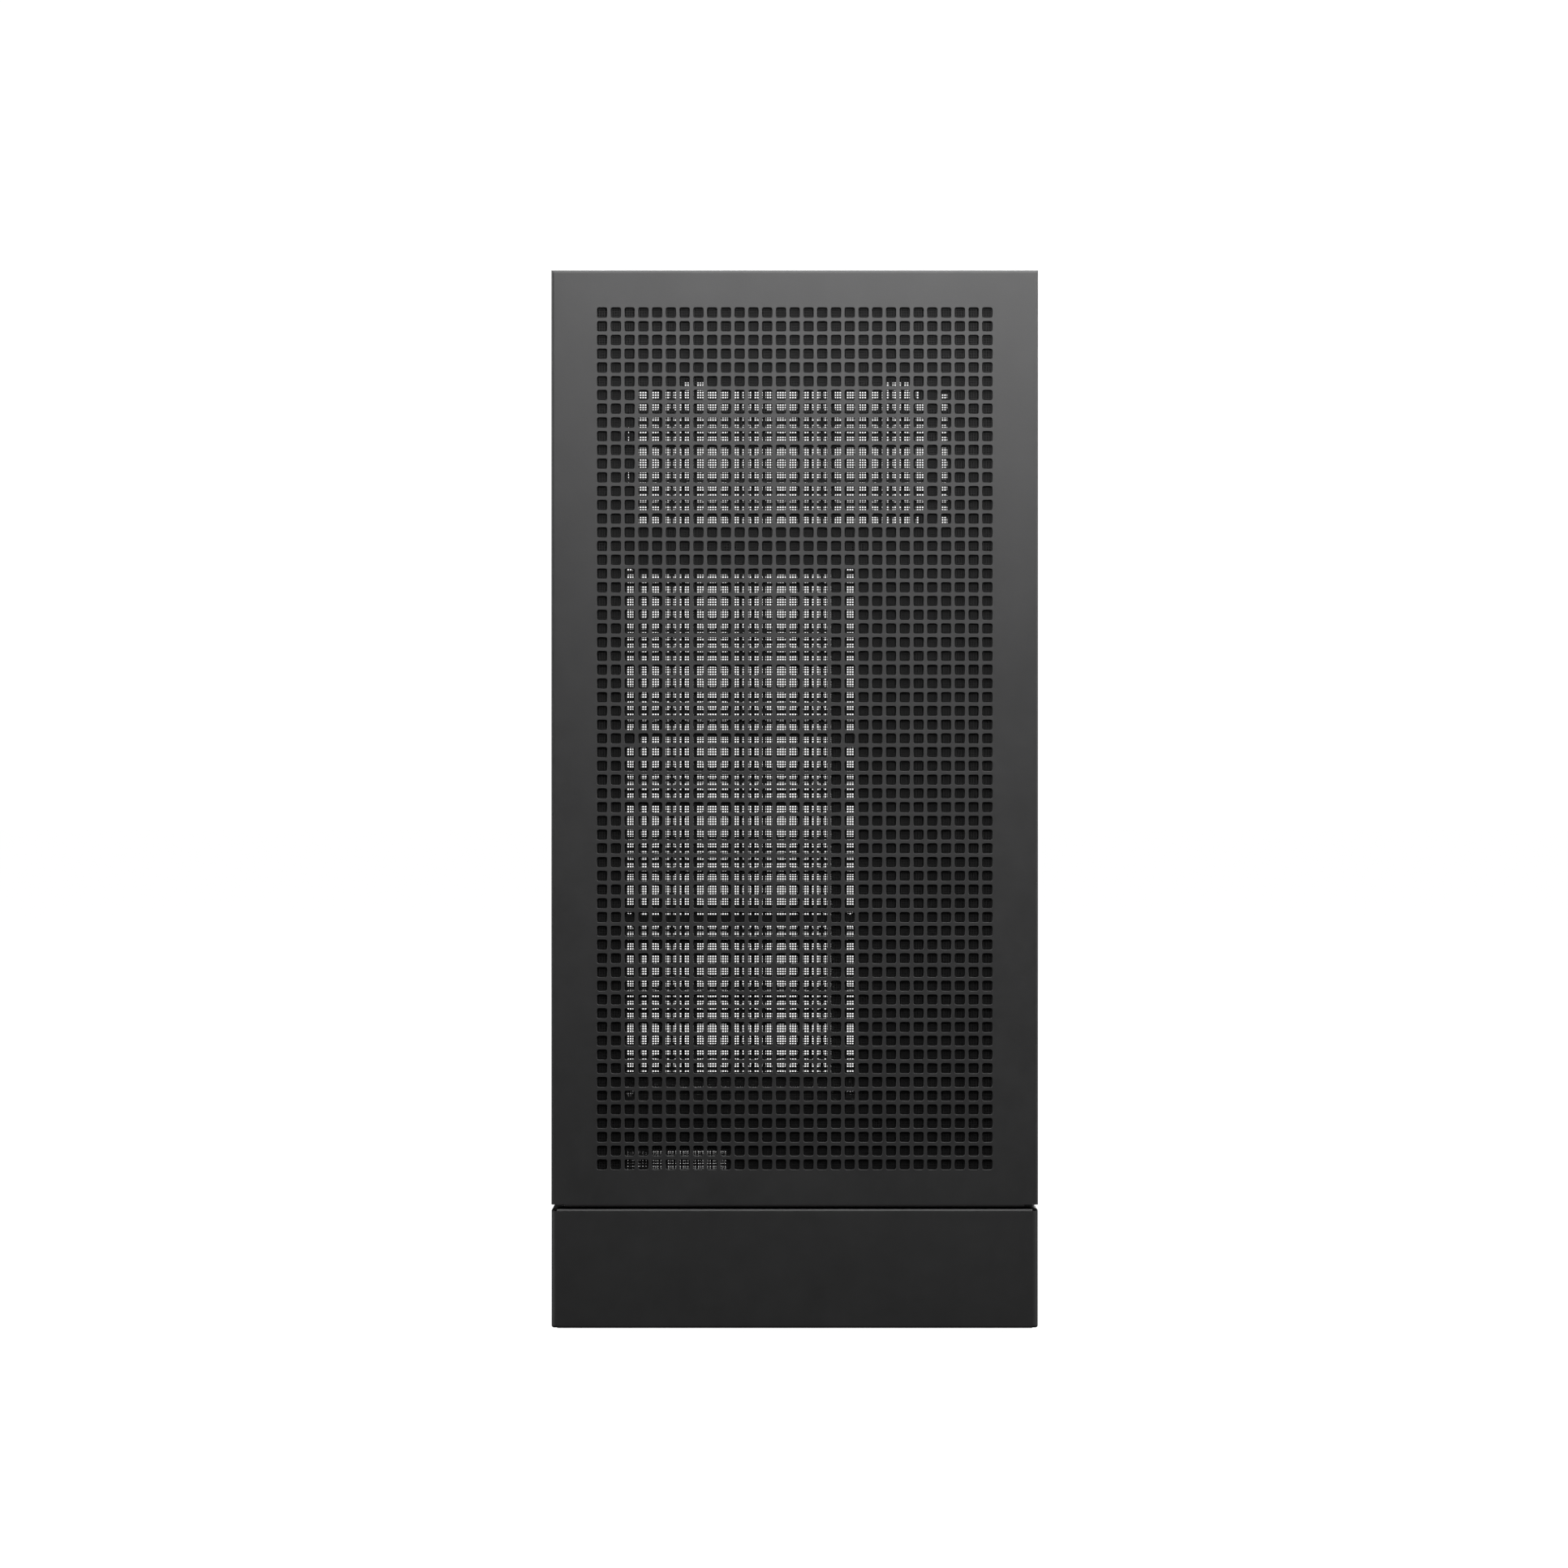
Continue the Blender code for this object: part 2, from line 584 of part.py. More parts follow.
def motherboard_tray():
    """The upright divider with its board window, its riser window and cable slots, and four standoffs."""
    holes = [rectangle(*RISER_WINDOW), round_rectangle(*BOARD_WINDOW, 8.0)]
    holes += [round_rectangle(*slot, 4.0) for slot in CABLE_SLOTS]
    edge = round_rectangle((-TRAY_HALF_D, TRAY_HALF_D), TRAY_Z, 3.0)
    plate("motherboard_tray", edge, holes, "X", (TRAY_X, TRAY_X + SHEET), black_steel)
    foot = TRAY_X + SHEET + GAP
    corners = [(y, z) for y in (-STUD_Y, STUD_Y) for z in STUD_Z]
    for number, (y, z) in enumerate(corners, 1):
        stud = cylinder(f"standoff_{number}", (foot + STUD_LENGTH / 2, y, z), STUD_R, STUD_LENGTH, "X", brass, sides=6)
        thread = cylinder(f"standoff_{number}_thread", (foot + STUD_LENGTH, y, z), 1.5, 9.0, "X", sides=8, cutter=True)
        cut(stud, thread)


def ribbon_mesh():
    """The ribbon's middle surface: a straight leg, a half turn and a leg back."""
    legs = (RIBBON_X, RIBBON_X + 2 * RIBBON_R)
    path = [(legs[0], RIBBON_ENDS[0])]
    steps = 12
    for step in range(steps + 1):
        angle = math.pi + math.pi * step / steps
        path.append((legs[0] + RIBBON_R + RIBBON_R * math.cos(angle), RIBBON_BEND_Y + RIBBON_R * math.sin(angle)))
    path.append((legs[1], RIBBON_ENDS[1]))
    shape = bmesh.new()
    low = [shape.verts.new((x * MM, y * MM, RIBBON_Z[0] * MM)) for x, y in path]
    high = [shape.verts.new((x * MM, y * MM, RIBBON_Z[1] * MM)) for x, y in path]
    for first in range(len(path) - 1):
        shape.faces.new((low[first], low[first + 1], high[first + 1], high[first]))
    return mesh_from("riser_ribbon", shape)


def riser():
    """The card riser: its board, the slot with its latch, the ribbon and the plug for the main board."""
    slot = box("riser_slot", SLOT_X, around(RISER_Y, SLOT_HALF_W), SLOT_Z, black_plastic)
    groove_x = (SLOT_X[0] - REACH, SLOT_X[0] + GROOVE_DEPTH)
    groove_y = around(RISER_Y, GROOVE_HALF_W)
    cut(slot, box_group("riser_slot_groove", [(groove_x, groove_y, z) for z in SLOT_GROOVES]))
    box("riser_board", *RISER_BOARD, board_green)
    box("riser_latch", *LATCH, black_plastic, round_edge=0.5)
    box("riser_plug", *RISER_PLUG, black_plastic, round_edge=0.6)
    ribbon = add_object("riser_ribbon", ribbon_mesh(), black_plastic)
    thick = ribbon.modifiers.new("thickness", "SOLIDIFY")
    thick.thickness = RIBBON_SHEET * MM
    thick.offset = 0.0


def fan_bracket():
    """The plate beside the board that takes two fans or a radiator."""
    holes = []
    for centre_z in FAN_Z:
        holes.append(circle(0.0, centre_z, FAN_R))
        for y in (-FAN_HOLE_PITCH, FAN_HOLE_PITCH):
            for z in (centre_z - FAN_HOLE_PITCH, centre_z + FAN_HOLE_PITCH):
                holes.append(rectangle(around(y, FAN_SLOT[0]), around(z, FAN_SLOT[1])))
    for sign in (-1, 1):
        y = between(sign * BRACKET_VENT_Y[0], sign * BRACKET_VENT_Y[1])
        holes += [rectangle(y, (low, low + BRACKET_VENT_HEIGHT)) for low in BRACKET_VENT_Z]
    outline = round_rectangle((-BRACKET_HALF_D, BRACKET_HALF_D), BRACKET_Z, 4.0)
    plate("fan_bracket", outline, holes, "X", BRACKET_X, black_steel)


def shelf():
    """The shelf under the power supply."""
    edge = round_rectangle(SHELF_X, (-LEVEL_HALF_D, 0.0), 2.0)
    holes = [rectangle(u, v) for u, v in grille((-62.0, 62.0), (-92.0, -14.0), 4, 3, VENT_BAR)]
    plate("supply_shelf", edge, holes, "Z", (SHELF_Z, SHELF_Z + SHEET), black_steel)


def round_rim(obj, width, segments):
    """Round the sharp edges of a round part."""
    rim = obj.modifiers.new("round", "BEVEL")
    rim.width = width * MM
    rim.segments = segments
    rim.limit_method = "ANGLE"
    rim.angle_limit = math.radians(50)


def base():
    """The skirt around the cable space, the vented bottom plate and four feet."""
    outer = round_rectangle((-HALF_W, HALF_W), (-HALF_D, HALF_D), BASE_CORNER)
    inner_w = HALF_W - BASE_SHEET
    inner_d = HALF_D - BASE_SHEET
    inner = round_rectangle((-inner_w, inner_w), (-inner_d, inner_d), BASE_CORNER - BASE_SHEET)
    skirt = plate("base_skirt", outer, [inner], "Z", (BASE_BOTTOM, BASE_TOP), black_steel)
    side = around(HALF_W, REACH)
    rear = around(HALF_D, REACH)
    openings = [
        (EXIT_X, rear, EXIT_Z),
        (around(INLET_X, INLET_W / 2 + GAP), rear, around(INLET_Z, INLET_H / 2 + GAP)),
    ]
    for y, (width, height) in ((USB_C_Y, USB_C_SIZE), (USB_A_Y[0], USB_A_SIZE), (USB_A_Y[1], USB_A_SIZE)):
        openings.append((side, around(y, width / 2 + GAP), (BOARD_TOP, BOARD_TOP + height + 2 * GAP)))
    cut(skirt, box_group("base_openings", openings))
    centre = (HALF_W, BUTTON_Y, BUTTON_Z)
    cut(skirt, cylinder("button_hole", centre, BUTTON_R + 0.35, 2 * REACH, "X", cutter=True))
    reach_w = inner_w - GAP
    reach_d = inner_d - GAP
    vents = [rectangle(u, v) for u, v in grille((-56.0, 56.0), (-84.0, 84.0), 4, 5, VENT_BAR)]
    edge = rectangle((-reach_w, reach_w), (-reach_d, reach_d))
    plate("base_plate", edge, vents, "Z", BASE_PLATE_Z, black_steel)
    for end, y in (("front", -FOOT_Y), ("rear", FOOT_Y)):
        for hand, x in (("left", -FOOT_X), ("right", FOOT_X)):
            place = (x, y, FOOT_HEIGHT / 2)
            round_rim(cylinder(f"foot_{end}_{hand}", place, FOOT_R, FOOT_HEIGHT, "Z", rubber, sides=20), 0.6, 1)


def port(name, centre_y, size, back):
    """A socket shell open to the right, with its contact tongue."""
    width, height = size
    z = (BOARD_TOP + GAP, BOARD_TOP + GAP + height)
    shell = box(name, (back, HALF_W - GAP), around(centre_y, width / 2), z, bright_steel)
    wall = 0.35
    mouth = ((back + 1.5, HALF_W + 1), around(centre_y, width / 2 - wall), (z[0] + wall, z[1] - wall))
    cut(shell, box_group(name + "_mouth", [mouth]))
    tongue_z = around((z[0] + z[1]) / 2, wall)
    tongue = ((back + 0.8, HALF_W - 1.2), around(centre_y, width / 2 - 1.6), tongue_z)
    join(shell, box(name + "_tongue", *tongue, cutter=True))


def controls():
    """The power button, its switch and the ports on one small board."""
    box("io_board", (68.0, 81.5), (-104.0, -34.0), (BOARD_TOP - BOARD_SHEET, BOARD_TOP), board_green)
    switch_z = (BOARD_TOP + GAP, BUTTON_Z + 3.0)
    box("power_switch", (70.0, 77.5), around(BUTTON_Y, 3.0), switch_z, black_plastic, round_edge=0.4)
    centre = (HALF_W - 0.1 - BUTTON_LENGTH / 2, BUTTON_Y, BUTTON_Z)
    button = cylinder("power_button", centre, BUTTON_R, BUTTON_LENGTH, "X", black_plastic, sides=28)
    round_rim(button, 0.4, 2)
    port("usb_c_port", USB_C_Y, USB_C_SIZE, 74.0)
    for number, y in enumerate(USB_A_Y, 1):
        port(f"usb_a_port_{number}", y, USB_A_SIZE, 69.0)


def smooth_path(points, spacing):
    """Points spaced along a smooth curve through a cable's own points."""
    route = [Vector(p) for p in points]
    route = [route[0] * 2 - route[1], *route, route[-1] * 2 - route[-2]]
    out = []
    for k in range(1, len(route) - 2):
        before, start, end, after = route[k - 1:k + 3]
        count = max(1, round((end - start).length / spacing))
        for step in range(count):
            t = step / count
            out.append(0.5 * (2 * start + (end - before) * t + (2 * before - 5 * start + 4 * end - after) * t ** 2
                              + (3 * start - before - 3 * end + after) * t ** 3))
    out.append(route[-2])
    return out


def cable(name, points, radius, finish):
    """A round cable held inside the case, as a closed tube."""
    curve = bpy.data.curves.new(name, "CURVE")
    curve.dimensions = "3D"
    curve.bevel_depth = radius * MM
    curve.bevel_resolution = 2
    curve.use_fill_caps = True
    line = smooth_path(points, radius * 4)
    spline = curve.splines.new("POLY")
    spline.points.add(len(line) - 1)
    for point, co in zip(spline.points, line):
        point.co = (*(co * MM), 1.0)
    tube = bpy.data.objects.new(name, curve)
    curve.materials.append(finish)
    model.objects.link(tube)


def inlet():
    """The mains inlet at the rear of the base and the lead that carries power up to the supply."""
    x = around(INLET_X, INLET_W / 2)
    z = around(INLET_Z, INLET_H / 2)
    body = box("power_inlet", x, (INLET_Y, HALF_D - GAP), z, black_plastic)
    recess = ((x[0] + 2, x[1] - 2), (INLET_RECESS_Y, HALF_D + 2), (z[0] + 2.8, z[1] - 2.8))
    cut(body, box_group("power_inlet_recess", [recess]))
    pin_y = (INLET_RECESS_Y - 1, INLET_RECESS_Y + 11)
    for number, (dx, dz) in enumerate(INLET_PINS, 1):
        pin = (around(INLET_X + dx, 1.0), pin_y, around(INLET_Z + dz, 2.0))
        join(body, box(f"power_inlet_pin_{number}", *pin, cutter=True))
    cable("inlet_lead", LEAD_ROUTE, LEAD_R, black_plastic)
    box("inlet_plug", *LEAD_PLUG, black_plastic, round_edge=1.5)


end_panel("front", -1)
box("front_filter", END_FILTER[0], inwards(-1, HALF_D, FILTER_DEPTH), END_FILTER[1], filter_mesh)
end_panel("rear", 1)
side_panel("left", -1)
side_panel("right", 1)
top_panel()
end_frame("front", -1, front_windows())
end_frame("rear", 1, rear_windows())
for rail_level in ("top", "bottom"):
    for rail_hand in ("left", "right"):
        frame_rail(rail_level, rail_hand)
floor_plate()
slot_covers()
motherboard_tray()
riser()
fan_bracket()
shelf()
base()
controls()
inlet()
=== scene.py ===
"""Looks of the compact computer case: perforated powder-coated panels, woven filters and the frame inside."""
import json
import math

import bmesh
import bpy
from mathutils import Matrix, Vector


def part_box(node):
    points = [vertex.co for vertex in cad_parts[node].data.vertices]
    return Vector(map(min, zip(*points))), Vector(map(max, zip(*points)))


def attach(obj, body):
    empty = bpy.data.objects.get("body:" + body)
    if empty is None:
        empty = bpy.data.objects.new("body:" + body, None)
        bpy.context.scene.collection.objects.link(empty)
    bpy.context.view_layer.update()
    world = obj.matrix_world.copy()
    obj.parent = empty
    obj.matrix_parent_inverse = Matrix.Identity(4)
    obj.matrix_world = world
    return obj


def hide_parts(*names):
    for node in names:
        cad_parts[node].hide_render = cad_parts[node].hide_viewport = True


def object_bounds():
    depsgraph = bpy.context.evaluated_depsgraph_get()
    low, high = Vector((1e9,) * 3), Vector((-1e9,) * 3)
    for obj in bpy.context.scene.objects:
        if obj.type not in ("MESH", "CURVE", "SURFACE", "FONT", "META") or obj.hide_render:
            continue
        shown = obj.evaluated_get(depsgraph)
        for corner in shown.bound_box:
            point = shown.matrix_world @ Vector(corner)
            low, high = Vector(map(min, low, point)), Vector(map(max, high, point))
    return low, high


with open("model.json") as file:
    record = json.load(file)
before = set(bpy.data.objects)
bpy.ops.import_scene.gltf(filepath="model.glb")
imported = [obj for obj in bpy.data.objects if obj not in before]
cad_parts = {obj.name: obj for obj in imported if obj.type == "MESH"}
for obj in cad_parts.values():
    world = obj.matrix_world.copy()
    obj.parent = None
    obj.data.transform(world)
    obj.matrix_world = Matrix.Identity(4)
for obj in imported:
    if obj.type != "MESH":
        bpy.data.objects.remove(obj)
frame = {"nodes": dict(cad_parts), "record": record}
cad_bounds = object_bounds()

MM = 0.001

# ---------------------------------------------------------------- sizes, in millimetres
# Panels: the sheet's thickness, a fold's outer radius and the steps of its arc, the narrow strip beside a fold that
# keeps the flat part's shading level, and how much of the lower flange is cut away at each corner.
SHEET = 0.8
FOLD = 0.9
FOLD_STEPS = 4
FLAT_STRIP = 0.2
RELIEF = 4.7

# The field of holes: its pitches, the width, corner radius and chamfer of a hole, and how many there are each way.
PITCH = 4.72
ROW_PITCH = 4.7136
HOLE = 3.5
HOLE_CORNER = 0.62
HOLE_CHAMFER = 0.1
COLUMNS = 29
ROWS = 63
REAR_ROWS = 64
SIDE_COLUMNS = 43
TOP_ROWS = 43
FIELD_MIDDLE_Z = 204.28

# Filters: the wires' pitch and thickness, where the upright and the level ones start and end in depth and where the
# border starts, in wire thicknesses, the gap to the panel, and the border's width and thickness.
WIRE_PITCH = 0.8565
WIRE = 0.365
UPRIGHT_WIRES = (0.0, 0.6)
LEVEL_WIRES = (0.55, 1.15)
BEHIND_WIRES = 1.2
FILTER_GAP = 0.1
BORDER = 6.0
BORDER_SHEET = 0.35

# Base: the band's corner and fold radius, its lips' width, its sheet, how far it rises past its CAD solid, the holes
# of the bottom tray, the gaps round the ports and the button, and how far a cutter reaches to each side of a face.
BASE_CORNER = 2.0
BASE_FOLD = 0.8
BASE_LIP = 7.0
BASE_SHEET = 0.6
BASE_RISE = 0.12
TRAY_HOLES = (23, 37)
PORT_GAP = 0.3
BUTTON_GAP = 0.35
SIDE_CUT = 3.0
REAR_CUT = 4.0

# Fasteners: the screws' head radius and the heights of their heads.
SCREW_RADIUS = 2.7
FRAME_SCREW_HEIGHT = 1.5
BASE_SCREW_HEIGHT = 1.4

# Rounding of the edges of the CAD parts that stay.
EDGE_ROUNDING = 0.18


def limits(node):
    """A CAD node's lowest and highest corner, in millimetres."""
    low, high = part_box(node)
    return Vector(low) / MM, Vector(high) / MM


case_low, case_high = (Vector(corner) / MM for corner in cad_bounds)
HALF_W = case_high.x
HALF_D = case_high.y
HEIGHT = case_high.z

# ---------------------------------------------------------------- materials


def new_material(name):
    """A node material and its tree, with a Principled shader."""
    made = bpy.data.materials.new(name)
    made.use_nodes = True
    return made, made.node_tree, made.node_tree.nodes["Principled BSDF"]


def noise(tree, scale, detail=3.0, roughness=0.5, stretch=(1.0, 1.0, 1.0)):
    """A noise texture in object space; scale is in features per metre."""
    coords = tree.nodes.new("ShaderNodeTexCoord")
    mapping = tree.nodes.new("ShaderNodeMapping")
    mapping.inputs["Scale"].default_value = stretch
    texture = tree.nodes.new("ShaderNodeTexNoise")
    texture.inputs["Scale"].default_value = scale
    texture.inputs["Detail"].default_value = detail
    texture.inputs["Roughness"].default_value = roughness
    tree.links.new(coords.outputs["Object"], mapping.inputs["Vector"])
    tree.links.new(mapping.outputs["Vector"], texture.inputs["Vector"])
    return texture.outputs["Fac"]


def ramp(tree, source, stops):
    """A colour ramp over a grey value; each stop is a position and a colour."""
    node = tree.nodes.new("ShaderNodeValToRGB")
    elements = node.color_ramp.elements
    while len(elements) < len(stops):
        elements.new(0.5)
    for element, (position, colour) in zip(elements, stops):
        element.position = position
        element.color = (*colour, 1.0)
    tree.links.new(source, node.inputs["Fac"])
    return node.outputs["Color"]


def scaled(tree, source, low, high):
    """A grey value moved from 0..1 to low..high."""
    node = tree.nodes.new("ShaderNodeMapRange")
    node.inputs["To Min"].default_value = low
    node.inputs["To Max"].default_value = high
    tree.links.new(source, node.inputs["Value"])
    return node.outputs["Result"]


def bump(tree, shader, source, strength, distance, below=None):
    """A bump from a grey value, on top of an earlier one."""
    node = tree.nodes.new("ShaderNodeBump")
    node.inputs["Strength"].default_value = strength
    node.inputs["Distance"].default_value = distance
    tree.links.new(source, node.inputs["Height"])
    if below:
        tree.links.new(below, node.inputs["Normal"])
    tree.links.new(node.outputs["Normal"], shader.inputs["Normal"])
    return node.outputs["Normal"]


def coated(name, dark, light, roughness, grain=2600.0, strength=0.3, metallic=0.0, specular=0.5):
    """Powder coat or moulded plastic: mottled colour, uneven roughness and a fine orange-peel grain."""
    made, tree, shader = new_material(name)
    mottle = noise(tree, 60.0, 5.0, 0.6)
    sheen = scaled(tree, noise(tree, 240.0, 4.0), roughness - 0.05, roughness + 0.05)
    tree.links.new(ramp(tree, mottle, ((0.3, dark), (0.7, light))), shader.inputs["Base Color"])
    tree.links.new(sheen, shader.inputs["Roughness"])
    shader.inputs["Metallic"].default_value = metallic
    shader.inputs["Specular IOR Level"].default_value = specular
    peel = bump(tree, shader, noise(tree, grain * 0.3, 2.0), strength * 0.5, 0.00008)
    bump(tree, shader, noise(tree, grain, 2.0), strength, 0.00004, peel)
    return made


def grey(value):
    """A grey with a trace of blue."""
    return (value, value, value * 1.02)


panel_coat = coated("panel_powder_coat", grey(0.019), grey(0.024), 0.48)
base_coat = coated("base_powder_coat", grey(0.0175), grey(0.022), 0.5)
frame_coat = coated("frame_powder_coat", grey(0.006), grey(0.009), 0.6, specular=0.25)
wire_coat = coated("filter_wire", grey(0.006), grey(0.009), 0.6, strength=0.1, specular=0.2)
moulded = coated("moulded_plastic", grey(0.014), grey(0.019), 0.42, grain=1500.0, strength=0.25)
soft_rubber = coated("foot_rubber", grey(0.016), grey(0.022), 0.85, grain=1800.0, strength=0.4)
button_plastic = coated("button_plastic", grey(0.020), grey(0.026), 0.35, grain=1500.0, strength=0.15)


def brushed(name, dark, light, roughness, stretch):
    """Rolled or brushed bare metal with fine lines along one axis."""
    made, tree, shader = new_material(name)
    lines = noise(tree, 900.0, 4.0, 0.6, stretch)
    tree.links.new(ramp(tree, lines, ((0.25, dark), (0.75, light))), shader.inputs["Base Color"])
    tree.links.new(scaled(tree, lines, roughness - 0.06, roughness + 0.1), shader.inputs["Roughness"])
    shader.inputs["Metallic"].default_value = 1.0
    bump(tree, shader, lines, 0.15, 0.00003)
    return made


bare_steel = brushed("rolled_steel", (0.42, 0.42, 0.43), (0.62, 0.62, 0.63), 0.32, (1.0, 0.06, 1.0))
port_steel = brushed("port_steel", (0.50, 0.50, 0.51), (0.66, 0.66, 0.67), 0.26, (0.2, 1.0, 1.0))
stud_brass = brushed("stud_brass", (0.62, 0.44, 0.18), (0.80, 0.60, 0.28), 0.3, (0.2, 1.0, 1.0))
gold_contact = brushed("contact_gold", (0.75, 0.52, 0.20), (0.90, 0.66, 0.30), 0.25, (1.0, 1.0, 0.2))
screw_steel = coated("screw_black_zinc", grey(0.05), grey(0.08), 0.34, metallic=0.8, strength=0.1)


def board_material():
    """Dark solder mask with faint copper tracks under it."""
    made, tree, shader = new_material("circuit_board")
    coords = tree.nodes.new("ShaderNodeTexCoord")
    bricks = tree.nodes.new("ShaderNodeTexBrick")
    bricks.inputs["Scale"].default_value = 160.0
    bricks.inputs["Mortar Size"].default_value = 0.03
    bricks.inputs["Color1"].default_value = (0.010, 0.016, 0.013, 1.0)
    bricks.inputs["Color2"].default_value = (0.012, 0.020, 0.016, 1.0)
    bricks.inputs["Mortar"].default_value = (0.020, 0.036, 0.028, 1.0)
    tree.links.new(coords.outputs["Object"], bricks.inputs["Vector"])
    tree.links.new(bricks.outputs["Color"], shader.inputs["Base Color"])
    shader.inputs["Roughness"].default_value = 0.38
    bump(tree, shader, bricks.outputs["Fac"], 0.2, 0.00003)
    return made


board_mask = board_material()

# ---------------------------------------------------------------- mesh helpers
# A square's four sides: the step to the square beyond each one, and the two corners at its ends.
SQUARE_SIDES = (((0, -1), 0, 1), ((1, 0), 1, 2), ((0, 1), 2, 3), ((-1, 0), 3, 0))


def finished(name, mesh, material, body, replaced=(), smooth_angle=28.0):
    """Add a mesh as a piece: its material, the body it rides on and the CAD nodes it stands for."""
    mesh.materials.clear()
    mesh.materials.append(material)
    mesh.shade_smooth()
    mesh.set_sharp_from_angle(angle=math.radians(smooth_angle))
    piece = bpy.data.objects.new(name, mesh)
    bpy.context.scene.collection.objects.link(piece)
    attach(piece, body)
    if replaced:
        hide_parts(*replaced)
    return piece


def mesh_of(name, points, faces):
    """A mesh from points in millimetres and faces."""
    mesh = bpy.data.meshes.new(name)
    mesh.from_pydata([tuple(co * MM for co in point) for point in points], [], faces)
    mesh.validate()
    return mesh


class Side:
    """One face of the case: u runs across it, v up it and w goes inwards from its outer face."""

    def __init__(self, origin, across, up):
        self.origin = Vector(origin)
        self.across = Vector(across)
        self.up = Vector(up)
        self.inward = -self.across.cross(self.up)

    def point(self, u, v, w):
        return self.origin + self.across * u + self.up * v + self.inward * w


def hole_outline(half, corner, steps=2):
    """Points of a rounded square hole, anticlockwise from the lower end of its left side."""
    points = []
    for start, sx, sy in ((180, -1, -1), (270, 1, -1), (0, 1, 1), (90, -1, 1)):
        centre_u = sx * (half - corner)
        centre_v = sy * (half - corner)
        for step in range(steps + 1):
            angle = math.radians(start + 90 * step / steps)
            points.append((centre_u + corner * math.cos(angle), centre_v + corner * math.sin(angle)))
    return points


def fold_lines(depth):
    """Distances beyond the start of a fold, measured along the sheet: the arc's steps, then the flange."""
    arc = FOLD * math.pi / 2
    return [arc * step / FOLD_STEPS for step in range(1, FOLD_STEPS + 1)] + [arc + depth - FOLD]


def unrolled(value, half, folded):
    """Where a distance along the sheet lies: its place across the face, its depth and the sheet's normal."""
    flat = half - FOLD
    past = abs(value) - flat
    sign = 1 if value > 0 else -1
    if past <= 1e-9 or not folded:
        return value, 0.0, 0.0, 1.0
    angle = min(past / FOLD, math.pi / 2)
    extra = max(0.0, past - FOLD * math.pi / 2)
    place = flat + FOLD * math.sin(angle)
    depth = FOLD * (1 - math.cos(angle)) + extra
    return sign * place, depth, sign * math.sin(angle), math.cos(angle)


def lines_across(half, count, pitch, offset, depth):
    """Grid lines over one direction: flange, fold, margin, the field of holes, margin, fold and flange."""
    start = offset - count * pitch / 2
    field = [start + pitch * step for step in range(count + 1)]
    flat = half - FOLD if depth else half
    relief = half - RELIEF
    margin = [-flat, FLAT_STRIP - flat, -relief] if depth else [-flat]
    lines = margin + field + [-value for value in reversed(margin)]
    if depth:
        beyond = [flat + step for step in fold_lines(depth)]
        lines = [-value for value in reversed(beyond)] + lines + beyond
    return lines, (start, start + count * pitch)


